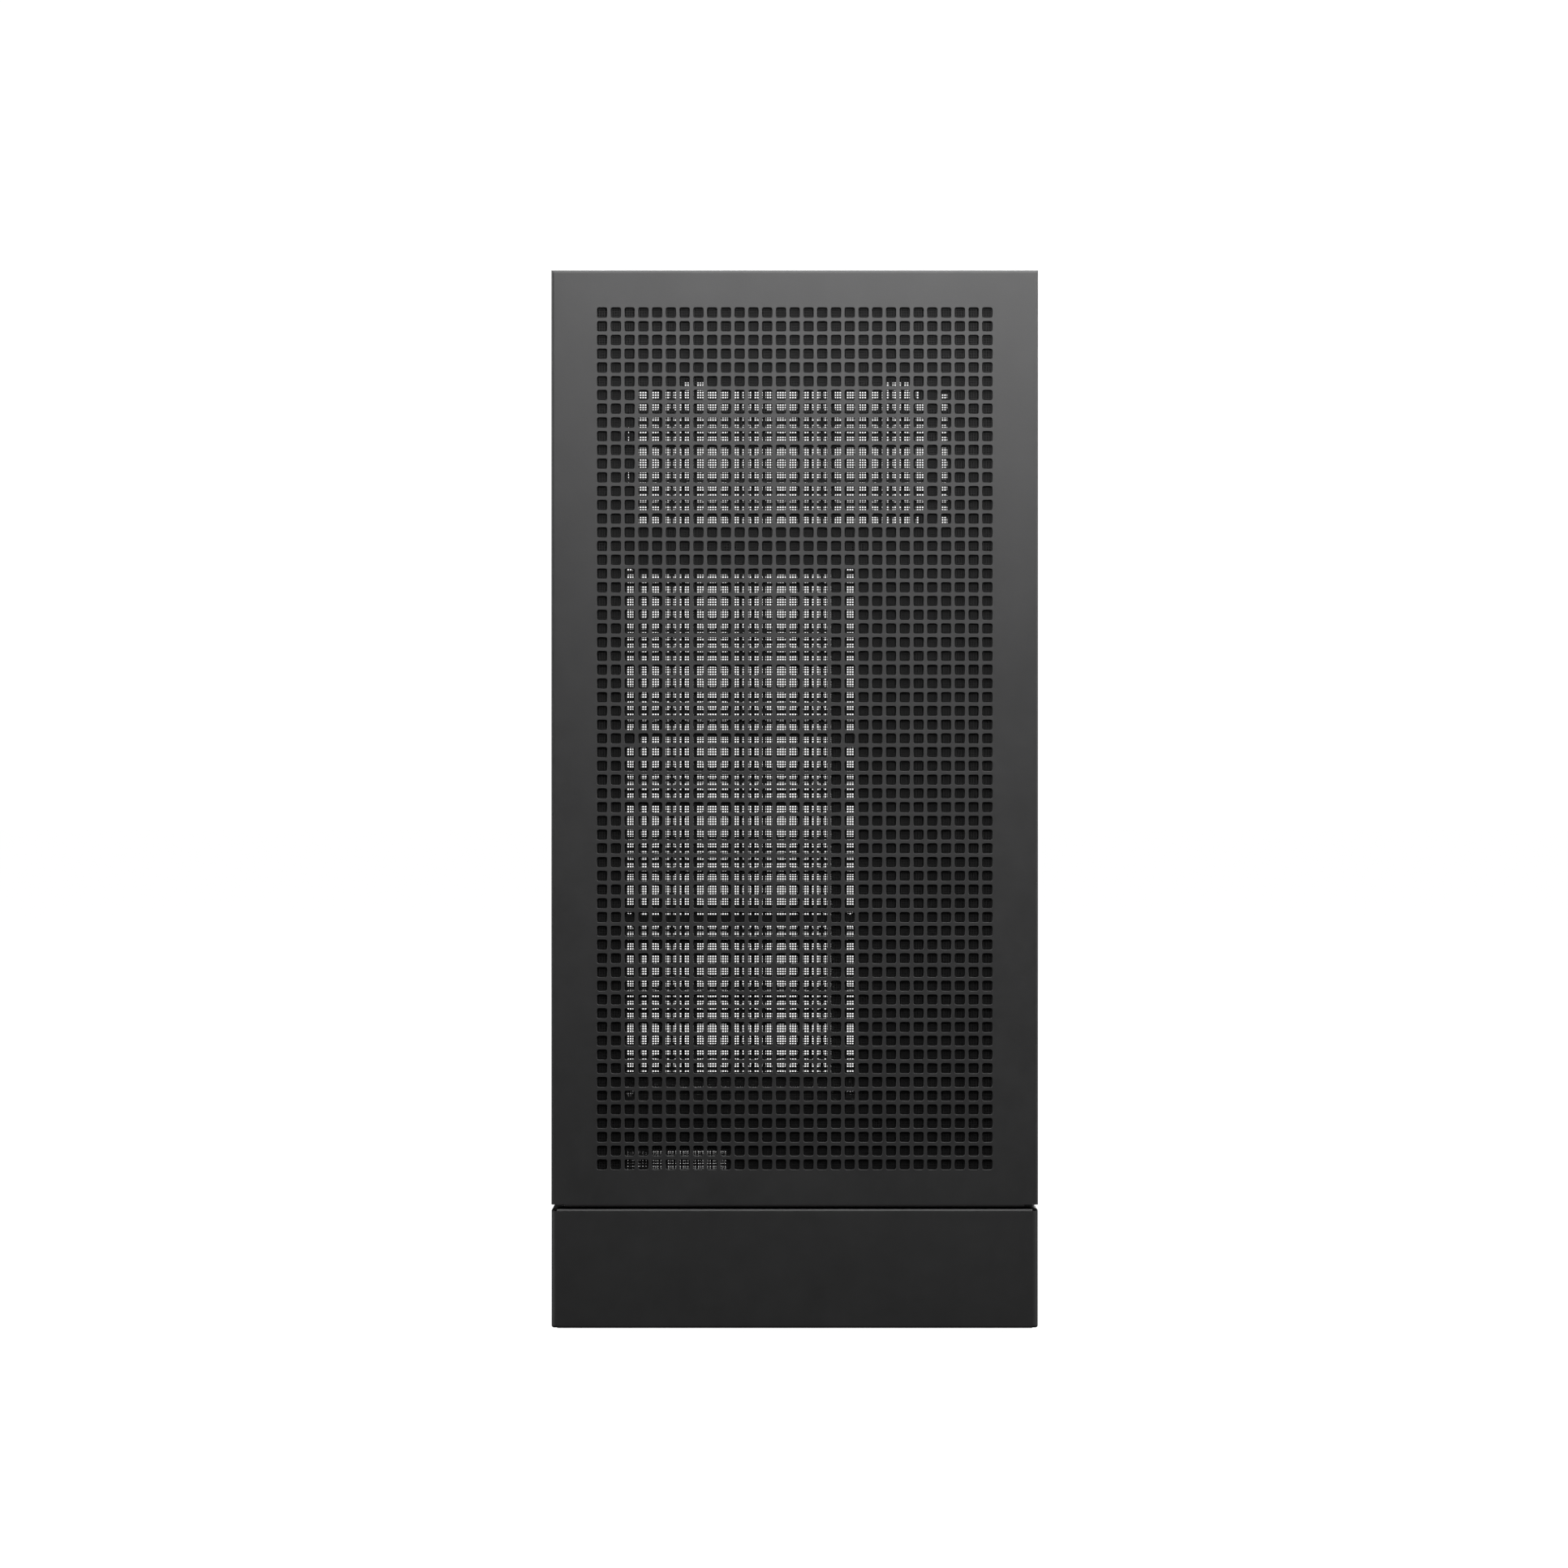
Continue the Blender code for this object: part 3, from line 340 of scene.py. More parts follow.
def perforated_pan(name, side, half, counts, offset_v=0.0, flange=0.0, chamfer=HOLE_CHAMFER, sheet=SHEET):
    """A steel panel with a field of punched holes. With a flange it is folded and relieved at its corners."""
    half_u, half_v = half
    us, field_u = lines_across(half_u, counts[0], PITCH, 0.0, flange)
    vs, field_v = lines_across(half_v, counts[1], ROW_PITCH, offset_v, flange)
    layers, faces, points = ({}, {}), [], []
    flat_v = half_v - FOLD
    relief_u = half_u - RELIEF
    fold_arc = FOLD * math.pi / 2

    def add(point):
        points.append(point)
        return len(points) - 1

    def corner(i, j, layer):
        store = layers[layer]
        if (i, j) not in store:
            u, depth_u, normal_u, cos_u = unrolled(us[i], half_u, flange)
            v, depth_v, normal_v, cos_v = unrolled(vs[j], half_v, flange)
            w = max(depth_u, depth_v)
            if layer:
                u -= normal_u * sheet
                v -= normal_v * sheet
                w += sheet * min(cos_u, cos_v)
            store[(i, j)] = add(side.point(u, v, w))
        return store[(i, j)]

    def present(i, j):
        """The sheet has relief slots at its lower corners; at its upper ones only the flanges part."""
        if not (0 <= i < len(us) - 1 and 0 <= j < len(vs) - 1):
            return False
        middle_u = abs(us[i] + us[i + 1]) / 2
        middle_v = (vs[j] + vs[j + 1]) / 2
        if not flange or abs(middle_v) < flat_v:
            return True
        if middle_v < 0:
            return middle_u < relief_u
        return middle_u < half_u - FOLD + fold_arc or middle_v < flat_v + fold_arc

    def holed(i, j):
        inside_u = field_u[0] - 1e-6 < us[i] < field_u[1] - 1e-6
        return inside_u and field_v[0] - 1e-6 < vs[j] < field_v[1] - 1e-6

    wide = hole_outline(HOLE / 2 + chamfer, HOLE_CORNER + chamfer)
    true = hole_outline(HOLE / 2, HOLE_CORNER)
    steps = [(wide, 0.0), (true, chamfer), (true, sheet)] if chamfer else [(true, 0.0), (true, sheet)]
    count = len(true)
    quarter = count // 4

    def punch(i, j, front, back):
        middle_u, middle_v = us[i] + PITCH / 2, vs[j] + ROW_PITCH / 2
        rings = [[add(side.point(middle_u + u, middle_v + v, depth)) for u, v in outline] for outline, depth in steps]
        for k in range(4):
            begin = k * quarter + quarter // 2
            ids = [(begin + step) % count for step in range(quarter + 1)]
            following = (k + 1) % 4
            faces.append([front[k], front[following]] + [rings[0][q] for q in reversed(ids)])
            faces.append([back[following], back[k]] + [rings[-1][q] for q in ids])
        for upper, lower in zip(rings, rings[1:]):
            for k in range(count):
                following = (k + 1) % count
                faces.append([upper[k], upper[following], lower[following], lower[k]])

    for i in range(len(us) - 1):
        for j in range(len(vs) - 1):
            if not present(i, j):
                continue
            square = [(i, j), (i + 1, j), (i + 1, j + 1), (i, j + 1)]
            front = [corner(*key, 0) for key in square]
            back = [corner(*key, 1) for key in square]
            if holed(i, j):
                punch(i, j, front, back)
            else:
                faces.append(front)
                faces.append(list(reversed(back)))
            for (di, dj), a, b in SQUARE_SIDES:
                if not present(i + di, j + dj):
                    faces.append([front[b], front[a], back[a], back[b]])
    return mesh_of(name, points, faces)


def skirt_ring(half_w, half_d, radius, corner_steps=6):
    """Places round the base band, each with its normal and whether the lips are parted there, at a corner."""
    ring = []
    for centre_x, centre_y, start in (
        (half_w - radius, radius - half_d, -90), (half_w - radius, half_d - radius, 0),
        (radius - half_w, half_d - radius, 90), (radius - half_w, radius - half_d, 180),
    ):
        for step in range(-1, corner_steps + 2):
            turned = min(max(step, 0), corner_steps)
            angle = math.radians(start + 90 * turned / corner_steps)
            normal = Vector((math.cos(angle), math.sin(angle), 0))
            along = Vector((-math.sin(angle), math.cos(angle), 0)) * (step - turned) * FLAT_STRIP
            place = Vector((centre_x, centre_y, 0)) + normal * radius + along
            ring.append((place, normal, 0 <= step < corner_steps))
    return ring


def skirt_profile(low, high, lip, fold):
    """The band's section from its lower lip to its upper one: inset, height and the normal's two parts."""
    section = []
    for step in range(FOLD_STEPS + 1):
        angle = math.pi / 2 * step / FOLD_STEPS
        inset, height = fold * (1 - math.sin(angle)), low + fold * (1 - math.cos(angle))
        section.append((inset, height, math.sin(angle), -math.cos(angle)))
    section.append((0.0, low + fold + FLAT_STRIP, 1.0, 0.0))
    upper = [(inset, low + high - z, out, -rise) for inset, z, out, rise in reversed(section)]
    return [(lip, low, 0.0, -1.0)] + section + upper + [(lip, high, 0.0, 1.0)]


def skirt_mesh(name, ring, profile, sheet):
    """The folded band of the base: rounded upright corners, lips folded in at its top and bottom edges."""
    flat = range(FOLD_STEPS + 1, FOLD_STEPS + 4)
    layers, faces, points = ({}, {}), [], []

    def vertex(i, j, layer):
        i %= len(ring)
        store = layers[layer]
        if (i, j) not in store:
            place, normal, _ = ring[i]
            inset, z, out, rise = profile[j]
            point = place - normal * inset
            point.z = z
            if layer:
                point -= (normal * out + Vector((0, 0, rise))) * sheet
            points.append(point)
            store[(i, j)] = len(points) - 1
        return store[(i, j)]

    def present(i, j):
        if not 0 <= j < len(profile) - 1:
            return False
        return not ring[i % len(ring)][2] or j in flat

    for i in range(len(ring)):
        for j in range(len(profile) - 1):
            if not present(i, j):
                continue
            square = [(i, j), (i + 1, j), (i + 1, j + 1), (i, j + 1)]
            front = [vertex(*key, 0) for key in square]
            back = [vertex(*key, 1) for key in square]
            faces.append(front)
            faces.append(list(reversed(back)))
            for (di, dj), a, b in SQUARE_SIDES:
                if not present(i + di, j + dj):
                    faces.append([front[b], front[a], back[a], back[b]])
    return mesh_of(name, points, faces)


def box_into(shape, low, high):
    """Add a box, given in millimetres, to a bmesh."""
    low, high = Vector(low) * MM, Vector(high) * MM
    size = high - low
    place = Matrix.Translation((low + high) / 2) @ Matrix.Diagonal((*size, 1.0))
    bmesh.ops.create_cube(shape, size=1.0, matrix=place)


TURN = {
    "+X": Matrix.Rotation(math.pi / 2, 4, "Y"), "-X": Matrix.Rotation(-math.pi / 2, 4, "Y"),
    "+Y": Matrix.Rotation(-math.pi / 2, 4, "X"), "-Y": Matrix.Rotation(math.pi / 2, 4, "X"),
    "+Z": Matrix.Identity(4), "-Z": Matrix.Rotation(math.pi, 4, "X"),
}


def rings_mesh(name, rings, placements, hoop=False):
    """Shapes made of stacked rings of points, one at each placement. The ends are capped, or joined in a hoop."""
    points, faces = [], []
    count = len(rings[0])
    for matrix in placements:
        base = len(points)
        for ring in rings:
            points.extend(matrix @ Vector(point) for point in ring)
        for level in range(len(rings) if hoop else len(rings) - 1):
            for k in range(count):
                following = (k + 1) % count
                low, high = base + level * count, base + (level + 1) % len(rings) * count
                faces.append([low + k, low + following, high + following, high + k])
        if not hoop:
            faces.append([base + k for k in reversed(range(count))])
            faces.append([base + (len(rings) - 1) * count + k for k in range(count)])
    return mesh_of(name, points, faces)


def placed(places):
    """Matrices, in millimetres, for shapes whose own +Z turns to face the way that each place names."""
    return [Matrix.Translation(Vector(point)) @ TURN[facing] for point, facing in places]


def round_ring(radius, z, count=24):
    return [(radius * math.cos(2 * math.pi * k / count), radius * math.sin(2 * math.pi * k / count), z)
            for k in range(count)]


def hex_ring(across, z, count=24):
    """A hexagon drawn with the same number of points as a circle."""
    points = []
    for k in range(count):
        angle = 2 * math.pi * k / count
        reach = across / math.cos((angle % (math.pi / 3)) - math.pi / 6)
        points.append((reach * math.cos(angle), reach * math.sin(angle), z))
    return points


def lathe(name, profile, places, body, material, count=32, replaced=(), hoop=False):
    """Turned pieces from a profile of radius and height, one at each place."""
    rings = [round_ring(radius, height, count) for radius, height in profile]
    return finished(name, rings_mesh(name, rings, placed(places), hoop), material, body, replaced)


def screws(name, places, radius, height, body, material):
    """Domed screws with a hexagon socket."""
    rings = [
        round_ring(radius * 0.96, 0.0), round_ring(radius, height * 0.12), round_ring(radius, height * 0.45),
        round_ring(radius * 0.9, height * 0.78), round_ring(radius * 0.68, height), hex_ring(radius * 0.44, height),
        hex_ring(radius * 0.42, height * 0.3),
    ]
    return finished(name, rings_mesh(name, rings, placed(places)), material, body)


def boxes(name, pairs, body, material, rounding=0.0):
    """Many small blocks as one piece, each given by its lowest and highest corner."""
    shape = bmesh.new()
    for low, high in pairs:
        box_into(shape, low, high)
    if rounding:
        bmesh.ops.bevel(shape, geom=shape.edges[:], offset=rounding * MM, segments=2, affect="EDGES", profile=0.5)
    mesh = bpy.data.meshes.new(name)
    shape.to_mesh(mesh)
    shape.free()
    return finished(name, mesh, material, body)


def border(name, side, range_u, range_v, depths, width, body):
    """The flat frame that holds a screen's edges."""
    (u0, u1), (v0, v1) = range_u, range_v
    outer = [(u0, v0), (u1, v0), (u1, v1), (u0, v1)]
    inner = [(u0 + width, v0 + width), (u1 - width, v0 + width), (u1 - width, v1 - width), (u0 + width, v1 - width)]
    points = [side.point(u, v, depth) for depth in depths for u, v in outer + inner]
    faces = []
    for k in range(4):
        n = (k + 1) % 4
        faces += [[k, n, 4 + n, 4 + k], [8 + n, 8 + k, 12 + k, 12 + n]]
        faces += [[n, k, 8 + k, 8 + n], [4 + k, 4 + n, 12 + n, 12 + k]]
    finished(name, mesh_of(name, points, faces), moulded, body)


def woven(name, side, range_u, range_v, depth, pitch=WIRE_PITCH, thick=WIRE):
    """A wire screen: upright and level wires in two layers that overlap a little, with a flat section."""
    points, faces = [], []

    def wire(low, high):
        base = len(points)
        (u0, v0, w0), (u1, v1, w1) = low, high
        for w in (w0, w1):
            for u, v in ((u0, v0), (u1, v0), (u1, v1), (u0, v1)):
                points.append(side.point(u, v, w))
        faces.extend([[base + k for k in quad] for quad in (
            (0, 1, 2, 3), (7, 6, 5, 4), (1, 0, 4, 5), (2, 1, 5, 6), (3, 2, 6, 7), (0, 3, 7, 4))])

    half = thick / 2
    count_u = int((range_u[1] - range_u[0]) / pitch)
    count_v = int((range_v[1] - range_v[0]) / pitch)
    start, end = (depth + thick * part for part in UPRIGHT_WIRES)
    for k in range(count_u + 1):
        u = range_u[0] + k * pitch
        wire((u - half, range_v[0], start), (u + half, range_v[1], end))
    start, end = (depth + thick * part for part in LEVEL_WIRES)
    for k in range(count_v + 1):
        v = range_v[0] + k * pitch
        wire((range_u[0], v - half, start), (range_u[1], v + half, end))
    return mesh_of(name, points, faces)


# ---------------------------------------------------------------- camera, floor and light
FRONT_Y = case_low.y * MM
# In metres: how far the camera stands from the front face, and its place across and above the floor.
VIEW_DISTANCE = 1.2699
CAMERA_X = -0.00367
CAMERA_Z = 0.1887

camera_data = bpy.data.cameras.new("camera")
camera_data.lens = 85.0
camera_data.sensor_width = 36.0
camera_data.clip_end = 100.0
camera = bpy.data.objects.new("camera", camera_data)
camera.location = (CAMERA_X, FRONT_Y - VIEW_DISTANCE, CAMERA_Z)
camera.rotation_euler = (math.pi / 2, 0.0, 0.0)
bpy.context.scene.collection.objects.link(camera)
bpy.context.scene.camera = camera
bpy.context.scene.view_settings.view_transform = "Standard"


def area_light(name, place, target, size, power):
    """A soft rectangular light that faces a point and isn't seen itself."""
    data = bpy.data.lights.new(name, "AREA")
    data.shape = "RECTANGLE"
    data.size, data.size_y = size
    data.energy = power
    lamp = bpy.data.objects.new(name, data)
    lamp.location = place
    lamp.rotation_euler = (Vector(target) - Vector(place)).to_track_quat("-Z", "Y").to_euler()
    lamp.visible_camera = False
    bpy.context.scene.collection.objects.link(lamp)


area_light("key_above_front", (0.09, -0.347, 0.535), (0.01, -0.12, 0.254), (0.6, 0.5), 5.0)
area_light("overhead", (0.0, 0.6, 1.9), (0.0, 0.0, 0.3), (1.6, 1.2), 30.0)
area_light("left_fill", (-1.6, -0.12, 0.8), (0.0, 0.0, 0.2), (0.3, 1.2), 20.0)
area_light("right_fill", (1.6, -0.12, 0.8), (0.0, 0.0, 0.2), (0.3, 1.2), 16.0)
area_light("rear_fill", (0.3, 1.8, 1.0), (0.0, 0.0, 0.2), (1.2, 1.0), 32.0)

# The white that the camera sees behind the case, and the much weaker light that the surroundings cast on it.
BACKDROP_STRENGTH = 1.05
AMBIENT_STRENGTH = 0.03
world = bpy.data.worlds.new("studio")
world.use_nodes = True
bpy.context.scene.world = world
world_tree = world.node_tree
backdrop = world_tree.nodes["Background"]
backdrop.inputs["Color"].default_value = (1.0, 1.0, 1.0, 1.0)
backdrop.inputs["Strength"].default_value = BACKDROP_STRENGTH
ambient = world_tree.nodes.new("ShaderNodeBackground")
ambient.inputs["Color"].default_value = (1.0, 1.0, 1.0, 1.0)
ambient.inputs["Strength"].default_value = AMBIENT_STRENGTH
choose = world_tree.nodes.new("ShaderNodeMixShader")
rays = world_tree.nodes.new("ShaderNodeLightPath")
world_tree.links.new(rays.outputs["Is Camera Ray"], choose.inputs["Fac"])
world_tree.links.new(ambient.outputs["Background"], choose.inputs[1])
world_tree.links.new(backdrop.outputs["Background"], choose.inputs[2])
world_tree.links.new(choose.outputs["Shader"], world_tree.nodes["World Output"].inputs["Surface"])


def floor():
    """A wide pale floor."""
    shape = bmesh.new()
    bmesh.ops.create_grid(shape, x_segments=2, y_segments=2, size=14.0)
    mesh = bpy.data.meshes.new("floor")
    shape.to_mesh(mesh)
    shape.free()
    made, tree, shader = new_material("floor_paint")
    shader.inputs["Base Color"].default_value = (0.06, 0.06, 0.06, 1.0)
    shader.inputs["Roughness"].default_value = 0.95
    shader.inputs["Specular IOR Level"].default_value = 0.0
    glow = tree.nodes.new("ShaderNodeEmission")
    glow.inputs["Color"].default_value = (1.0, 1.0, 1.0, 1.0)
    glow.inputs["Strength"].default_value = 1.0
    total = tree.nodes.new("ShaderNodeAddShader")
    pick = tree.nodes.new("ShaderNodeMixShader")
    rays = tree.nodes.new("ShaderNodeLightPath")
    tree.links.new(shader.outputs["BSDF"], total.inputs[0])
    tree.links.new(glow.outputs["Emission"], total.inputs[1])
    tree.links.new(rays.outputs["Is Camera Ray"], pick.inputs["Fac"])
    tree.links.new(shader.outputs["BSDF"], pick.inputs[1])
    tree.links.new(total.outputs["Shader"], pick.inputs[2])
    tree.links.new(pick.outputs["Shader"], tree.nodes["Material Output"].inputs["Surface"])
    mesh.materials.append(made)
    ground = bpy.data.objects.new("floor", mesh)
    bpy.context.scene.collection.objects.link(ground)


floor()

# ---------------------------------------------------------------- panels
front_low, front_high = limits("front_panel")
left_low, left_high = limits("left_panel")
end_middle = (front_low.z + front_high.z) / 2
end_half = (front_high.z - front_low.z) / 2
side_middle = (left_low.z + left_high.z) / 2
side_half = (left_high.z - left_low.z) / 2
side_half_d = left_high.y

front_side = Side((0, -HALF_D, end_middle), (1, 0, 0), (0, 0, 1))
rear_side = Side((0, HALF_D, end_middle), (-1, 0, 0), (0, 0, 1))
left_side = Side((-HALF_W, 0, side_middle), (0, -1, 0), (0, 0, 1))
right_side = Side((HALF_W, 0, side_middle), (0, 1, 0), (0, 0, 1))
top_side = Side((0, 0, HEIGHT), (1, 0, 0), (0, 1, 0))

end_flange = front_high.y - front_low.y
side_flange = left_high.x - left_low.x
end_offset = FIELD_MIDDLE_Z - end_middle
side_offset = FIELD_MIDDLE_Z - side_middle

for title, side, rows in (("front", front_side, ROWS), ("rear", rear_side, REAR_ROWS)):
    sheet = perforated_pan(f"{title}_shell", side, (HALF_W, end_half), (COLUMNS, rows), end_offset, end_flange)
    finished(f"{title}_shell", sheet, panel_coat, f"{title}_cover", (f"{title}_panel",))
for title, side in (("left", left_side), ("right", right_side)):
    sheet = perforated_pan(
        f"{title}_shell", side, (side_half_d, side_half), (SIDE_COLUMNS, ROWS), side_offset, side_flange, 0.0)
    finished(f"{title}_shell", sheet, panel_coat, f"{title}_cover", (f"{title}_panel",))
top_low, top_high = limits("top_panel")
sheet = perforated_pan("top_shell", top_side, (top_high.x, top_high.y), (COLUMNS, TOP_ROWS),
                       sheet=top_high.z - top_low.z)
finished("top_shell", sheet, panel_coat, "top_cover", ("top_panel",))

X, Y = 0, 1
for title, side, across, middle in (
    ("front", front_side, X, end_middle), ("left", left_side, Y, side_middle), ("right", right_side, Y, side_middle),
):
    low, high = limits(f"{title}_filter")
    range_u, range_v = (low[across], high[across]), (low.z - middle, high.z - middle)
    depth = SHEET + FILTER_GAP
    screen = woven(f"{title}_screen", side, range_u, range_v, depth)
    finished(f"{title}_screen", screen, wire_coat, f"{title}_cover", (f"{title}_filter",))
    depth += WIRE * BEHIND_WIRES
    border(f"{title}_screen_border", side, range_u, range_v, (depth, depth + BORDER_SHEET), BORDER, f"{title}_cover")

low, high = limits("top_filter")
screen = woven("top_screen", top_side, (low.x, high.x), (low.y, high.y), HEIGHT - high.z)
finished("top_screen", screen, wire_coat, "top_cover", ("top_filter",))

# Fine screens over the cable window of the front frame, doubled on its outer part. Each row has the screen's name, its
# stretch across the front, its distance in front of the case's middle, and its wires' pitch and thickness.
WINDOW_BOTTOM, WINDOW_TOP = 49.0 - end_middle, 64.6 - end_middle
for name, range_u, ahead, pitch, thick in (
    ("cable_window_screen", (-69.0, -22.5), 107.9, 0.52, 0.31),
    ("cable_window_liner", (-69.0, -49.0), 107.4, 0.72, 0.22),
):
    depth = HALF_D - ahead
    screen = woven(name, front_side, range_u, (WINDOW_BOTTOM, WINDOW_TOP), depth, pitch, thick)
    finished(name, screen, wire_coat, "chassis")

# ---------------------------------------------------------------- base
base_low, base_high = limits("base_skirt")
button_low, button_high = limits("power_button")
inlet_low, inlet_high = limits("power_inlet")
button_mid = (button_low + button_high) / 2
# The cable exit's lowest and highest corner on the rear face, as X and Z.
EXIT_LOW, EXIT_HIGH = (-68.0, 9.0), (20.0, 39.0)


def cut_mesh(mesh, cutter_shape):
    """The mesh with a bmesh of cutters taken away."""
    tool_mesh = bpy.data.meshes.new("tool")
    cutter_shape.to_mesh(tool_mesh)
    cutter_shape.free()
    tool = bpy.data.objects.new("tool", tool_mesh)
    target = bpy.data.objects.new("target", mesh)
    for obj in (tool, target):
        bpy.context.scene.collection.objects.link(obj)
    step = target.modifiers.new("cut", "BOOLEAN")
    step.operation = "DIFFERENCE"
    step.object = tool
    bpy.context.view_layer.update()
    result = bpy.data.meshes.new_from_object(target.evaluated_get(bpy.context.evaluated_depsgraph_get()))
    for obj in (tool, target):
        bpy.data.objects.remove(obj, do_unlink=True)
    return result


def base_cutters():
    """The openings of the base: ports and button on the right, cable exit and inlet at the rear."""
    shape = bmesh.new()
    for node in ("usb_c_port", "usb_a_port_1", "usb_a_port_2"):
        low, high = limits(node)
        box_into(shape, (HALF_W - SIDE_CUT, low.y - PORT_GAP, low.z - PORT_GAP),
                 (HALF_W + SIDE_CUT, high.y + PORT_GAP, high.z + PORT_GAP))
    box_into(shape, (EXIT_LOW[0], HALF_D - REAR_CUT, EXIT_LOW[1]), (EXIT_HIGH[0], HALF_D + REAR_CUT, EXIT_HIGH[1]))
    box_into(shape, (inlet_low.x - PORT_GAP, HALF_D - REAR_CUT, inlet_low.z - PORT_GAP),
             (inlet_high.x + PORT_GAP, HALF_D + REAR_CUT, inlet_high.z + PORT_GAP))
    radius = (button_high.y - button_low.y) / 2 + BUTTON_GAP
    place = Matrix.Translation((HALF_W * MM, button_mid.y * MM, button_mid.z * MM)) @ TURN["+X"]
    bmesh.ops.create_cone(shape, cap_ends=True, segments=40, radius1=radius * MM, radius2=radius * MM,
                          depth=8 * MM, matrix=place)
    return shape


skirt = skirt_mesh("base_band", skirt_ring(HALF_W, HALF_D, BASE_CORNER),
                   skirt_profile(base_low.z, base_high.z + BASE_RISE, BASE_LIP, BASE_FOLD), BASE_SHEET)
finished("base_band", cut_mesh(skirt, base_cutters()), base_coat, "chassis", ("base_skirt",))

plate_low, plate_high = limits("base_plate")
under_side = Side((0, 0, plate_low.z), (1, 0, 0), (0, -1, 0))
sheet = perforated_pan("base_tray", under_side, (plate_high.x, plate_high.y), TRAY_HOLES, chamfer=0.0,
                       sheet=plate_high.z - plate_low.z)
finished("base_tray", sheet, frame_coat, "chassis", ("base_plate",))

# ---------------------------------------------------------------- controls, ports and inlet


def rounded_bar(half_y, half_z, x, steps=6):
    """Points of an upright slot shape across X, anticlockwise seen from +X."""
    points = []
    for centre, start in ((half_y - half_z, -90), (half_z - half_y, 90)):
        for step in range(steps + 1):
            angle = math.radians(start + 180 * step / steps)
            points.append((x, centre + half_z * math.cos(angle), half_z * math.sin(angle)))
    return points


port_low, port_high = limits("usb_c_port")
port_mid = (port_low + port_high) / 2
half_y, half_z = (port_high.y - port_low.y) / 2, (port_high.z - port_low.z) / 2
# The shell's wall and the rounding of its rim, and how far a port's floor lies in front of its CAD solid's inner end.
WALL = 0.3
RIM = 0.1
PORT_FLOOR = 1.0
rings = [
    rounded_bar(half_y, half_z, port_low.x), rounded_bar(half_y, half_z, port_high.x - RIM),
    rounded_bar(half_y - RIM, half_z - RIM, port_high.x),
    rounded_bar(half_y - WALL, half_z - WALL, port_high.x - RIM),
    rounded_bar(half_y - WALL, half_z - WALL, port_low.x + PORT_FLOOR),
]
middle = Matrix.Translation((0.0, port_mid.y, port_mid.z))
finished("usb_c_shell", rings_mesh("usb_c_shell", rings, [middle]), port_steel, "chassis",
         ("usb_c_port",))
tongue = [rounded_bar(half_y - 1.2, 0.35, x) for x in (port_low.x + PORT_FLOOR, port_high.x - 1.0)]
finished("usb_c_tongue", rings_mesh("usb_c_tongue", tongue, [middle]), moulded, "chassis")

CONTACT_OFFSETS = (-3.5, -1.0, 1.0, 3.5)
contacts = []
tongues = []
for node in ("usb_a_port_1", "usb_a_port_2"):
    low, high = limits(node)
    mid_y, mid_z = (low.y + high.y) / 2, (low.z + high.z) / 2
    tongues.append(((low.x + PORT_FLOOR, mid_y - 5.0, mid_z - 0.5), (high.x - 0.8, mid_y + 5.0, mid_z + 1.3)))
    for offset in CONTACT_OFFSETS:
        contacts.append(((low.x + 3, mid_y + offset - 0.5, mid_z - 0.62),
                         (high.x - 1.4, mid_y + offset + 0.5, mid_z - 0.45)))
boxes("usb_a_tongues", tongues, "chassis", moulded, 0.15)
boxes("usb_a_contacts", contacts, "chassis", gold_contact)

reach = button_high.x - button_low.x
radius = (button_high.y - button_low.y) / 2
cap = [
    (radius - 0.3, 0.0), (radius, 0.3), (radius, reach - 0.55), (radius - 0.16, reach - 0.16), (radius - 0.55, reach),
    (radius - 0.95, reach), (radius - 1.2, reach - 0.12), (radius * 0.4, reach - 0.3), (0.2, reach - 0.33),
]
lathe("button_cap", cap, [((button_low.x, button_mid.y, button_mid.z), "+X")], "button", button_plastic,
      48, ("power_button",))
BEZEL_DEPTH = 1.3
bezel = [(radius + 0.4, 0.0), (radius + 2.2, 0.0), (radius + 2.2, 1.0), (radius + 0.4, 1.0)]
lathe("button_bezel", bezel, [((HALF_W - BEZEL_DEPTH, button_mid.y, button_mid.z), "-X")], "chassis", moulded,
      48, hoop=True)

# Each blade's place across and above the inlet's middle.
BLADE_OFFSETS = ((-7.0, -2.2), (0.0, 3.4), (7.0, -2.2))
blades = []
for dx, dz in BLADE_OFFSETS:
    mid_x, mid_z = (inlet_low.x + inlet_high.x) / 2 + dx, (inlet_low.z + inlet_high.z) / 2 + dz
    blades.append(((mid_x - 1.05, inlet_low.y + 5.5, mid_z - 2.05),
                   (mid_x + 1.05, inlet_high.y - 5.0, mid_z + 2.05)))
boxes("inlet_blades", blades, "chassis", port_steel, 0.35)

# ---------------------------------------------------------------- feet
for end in ("front", "rear"):
    for hand in ("left", "right"):
        low, high = limits(f"foot_{end}_{hand}")
        radius = (high.x - low.x) / 2
        profile = [
            (1.8, 0.0), (2.0, 0.7), (4.6, 0.7), (4.8, 0.0), (radius - 2.6, 0.0), (radius - 1.7, 0.3), (radius, 1.0),
            (radius, 2.6), (radius - 0.5, 2.9), (radius - 0.5, 3.5), (radius, 3.8), (radius, high.z),
        ]
        lathe(f"foot_{end}_{hand}_pad", profile, [(((low.x + high.x) / 2, (low.y + high.y) / 2, 0.0), "+Z")],
              "chassis", soft_rubber, 48, (f"foot_{end}_{hand}",))

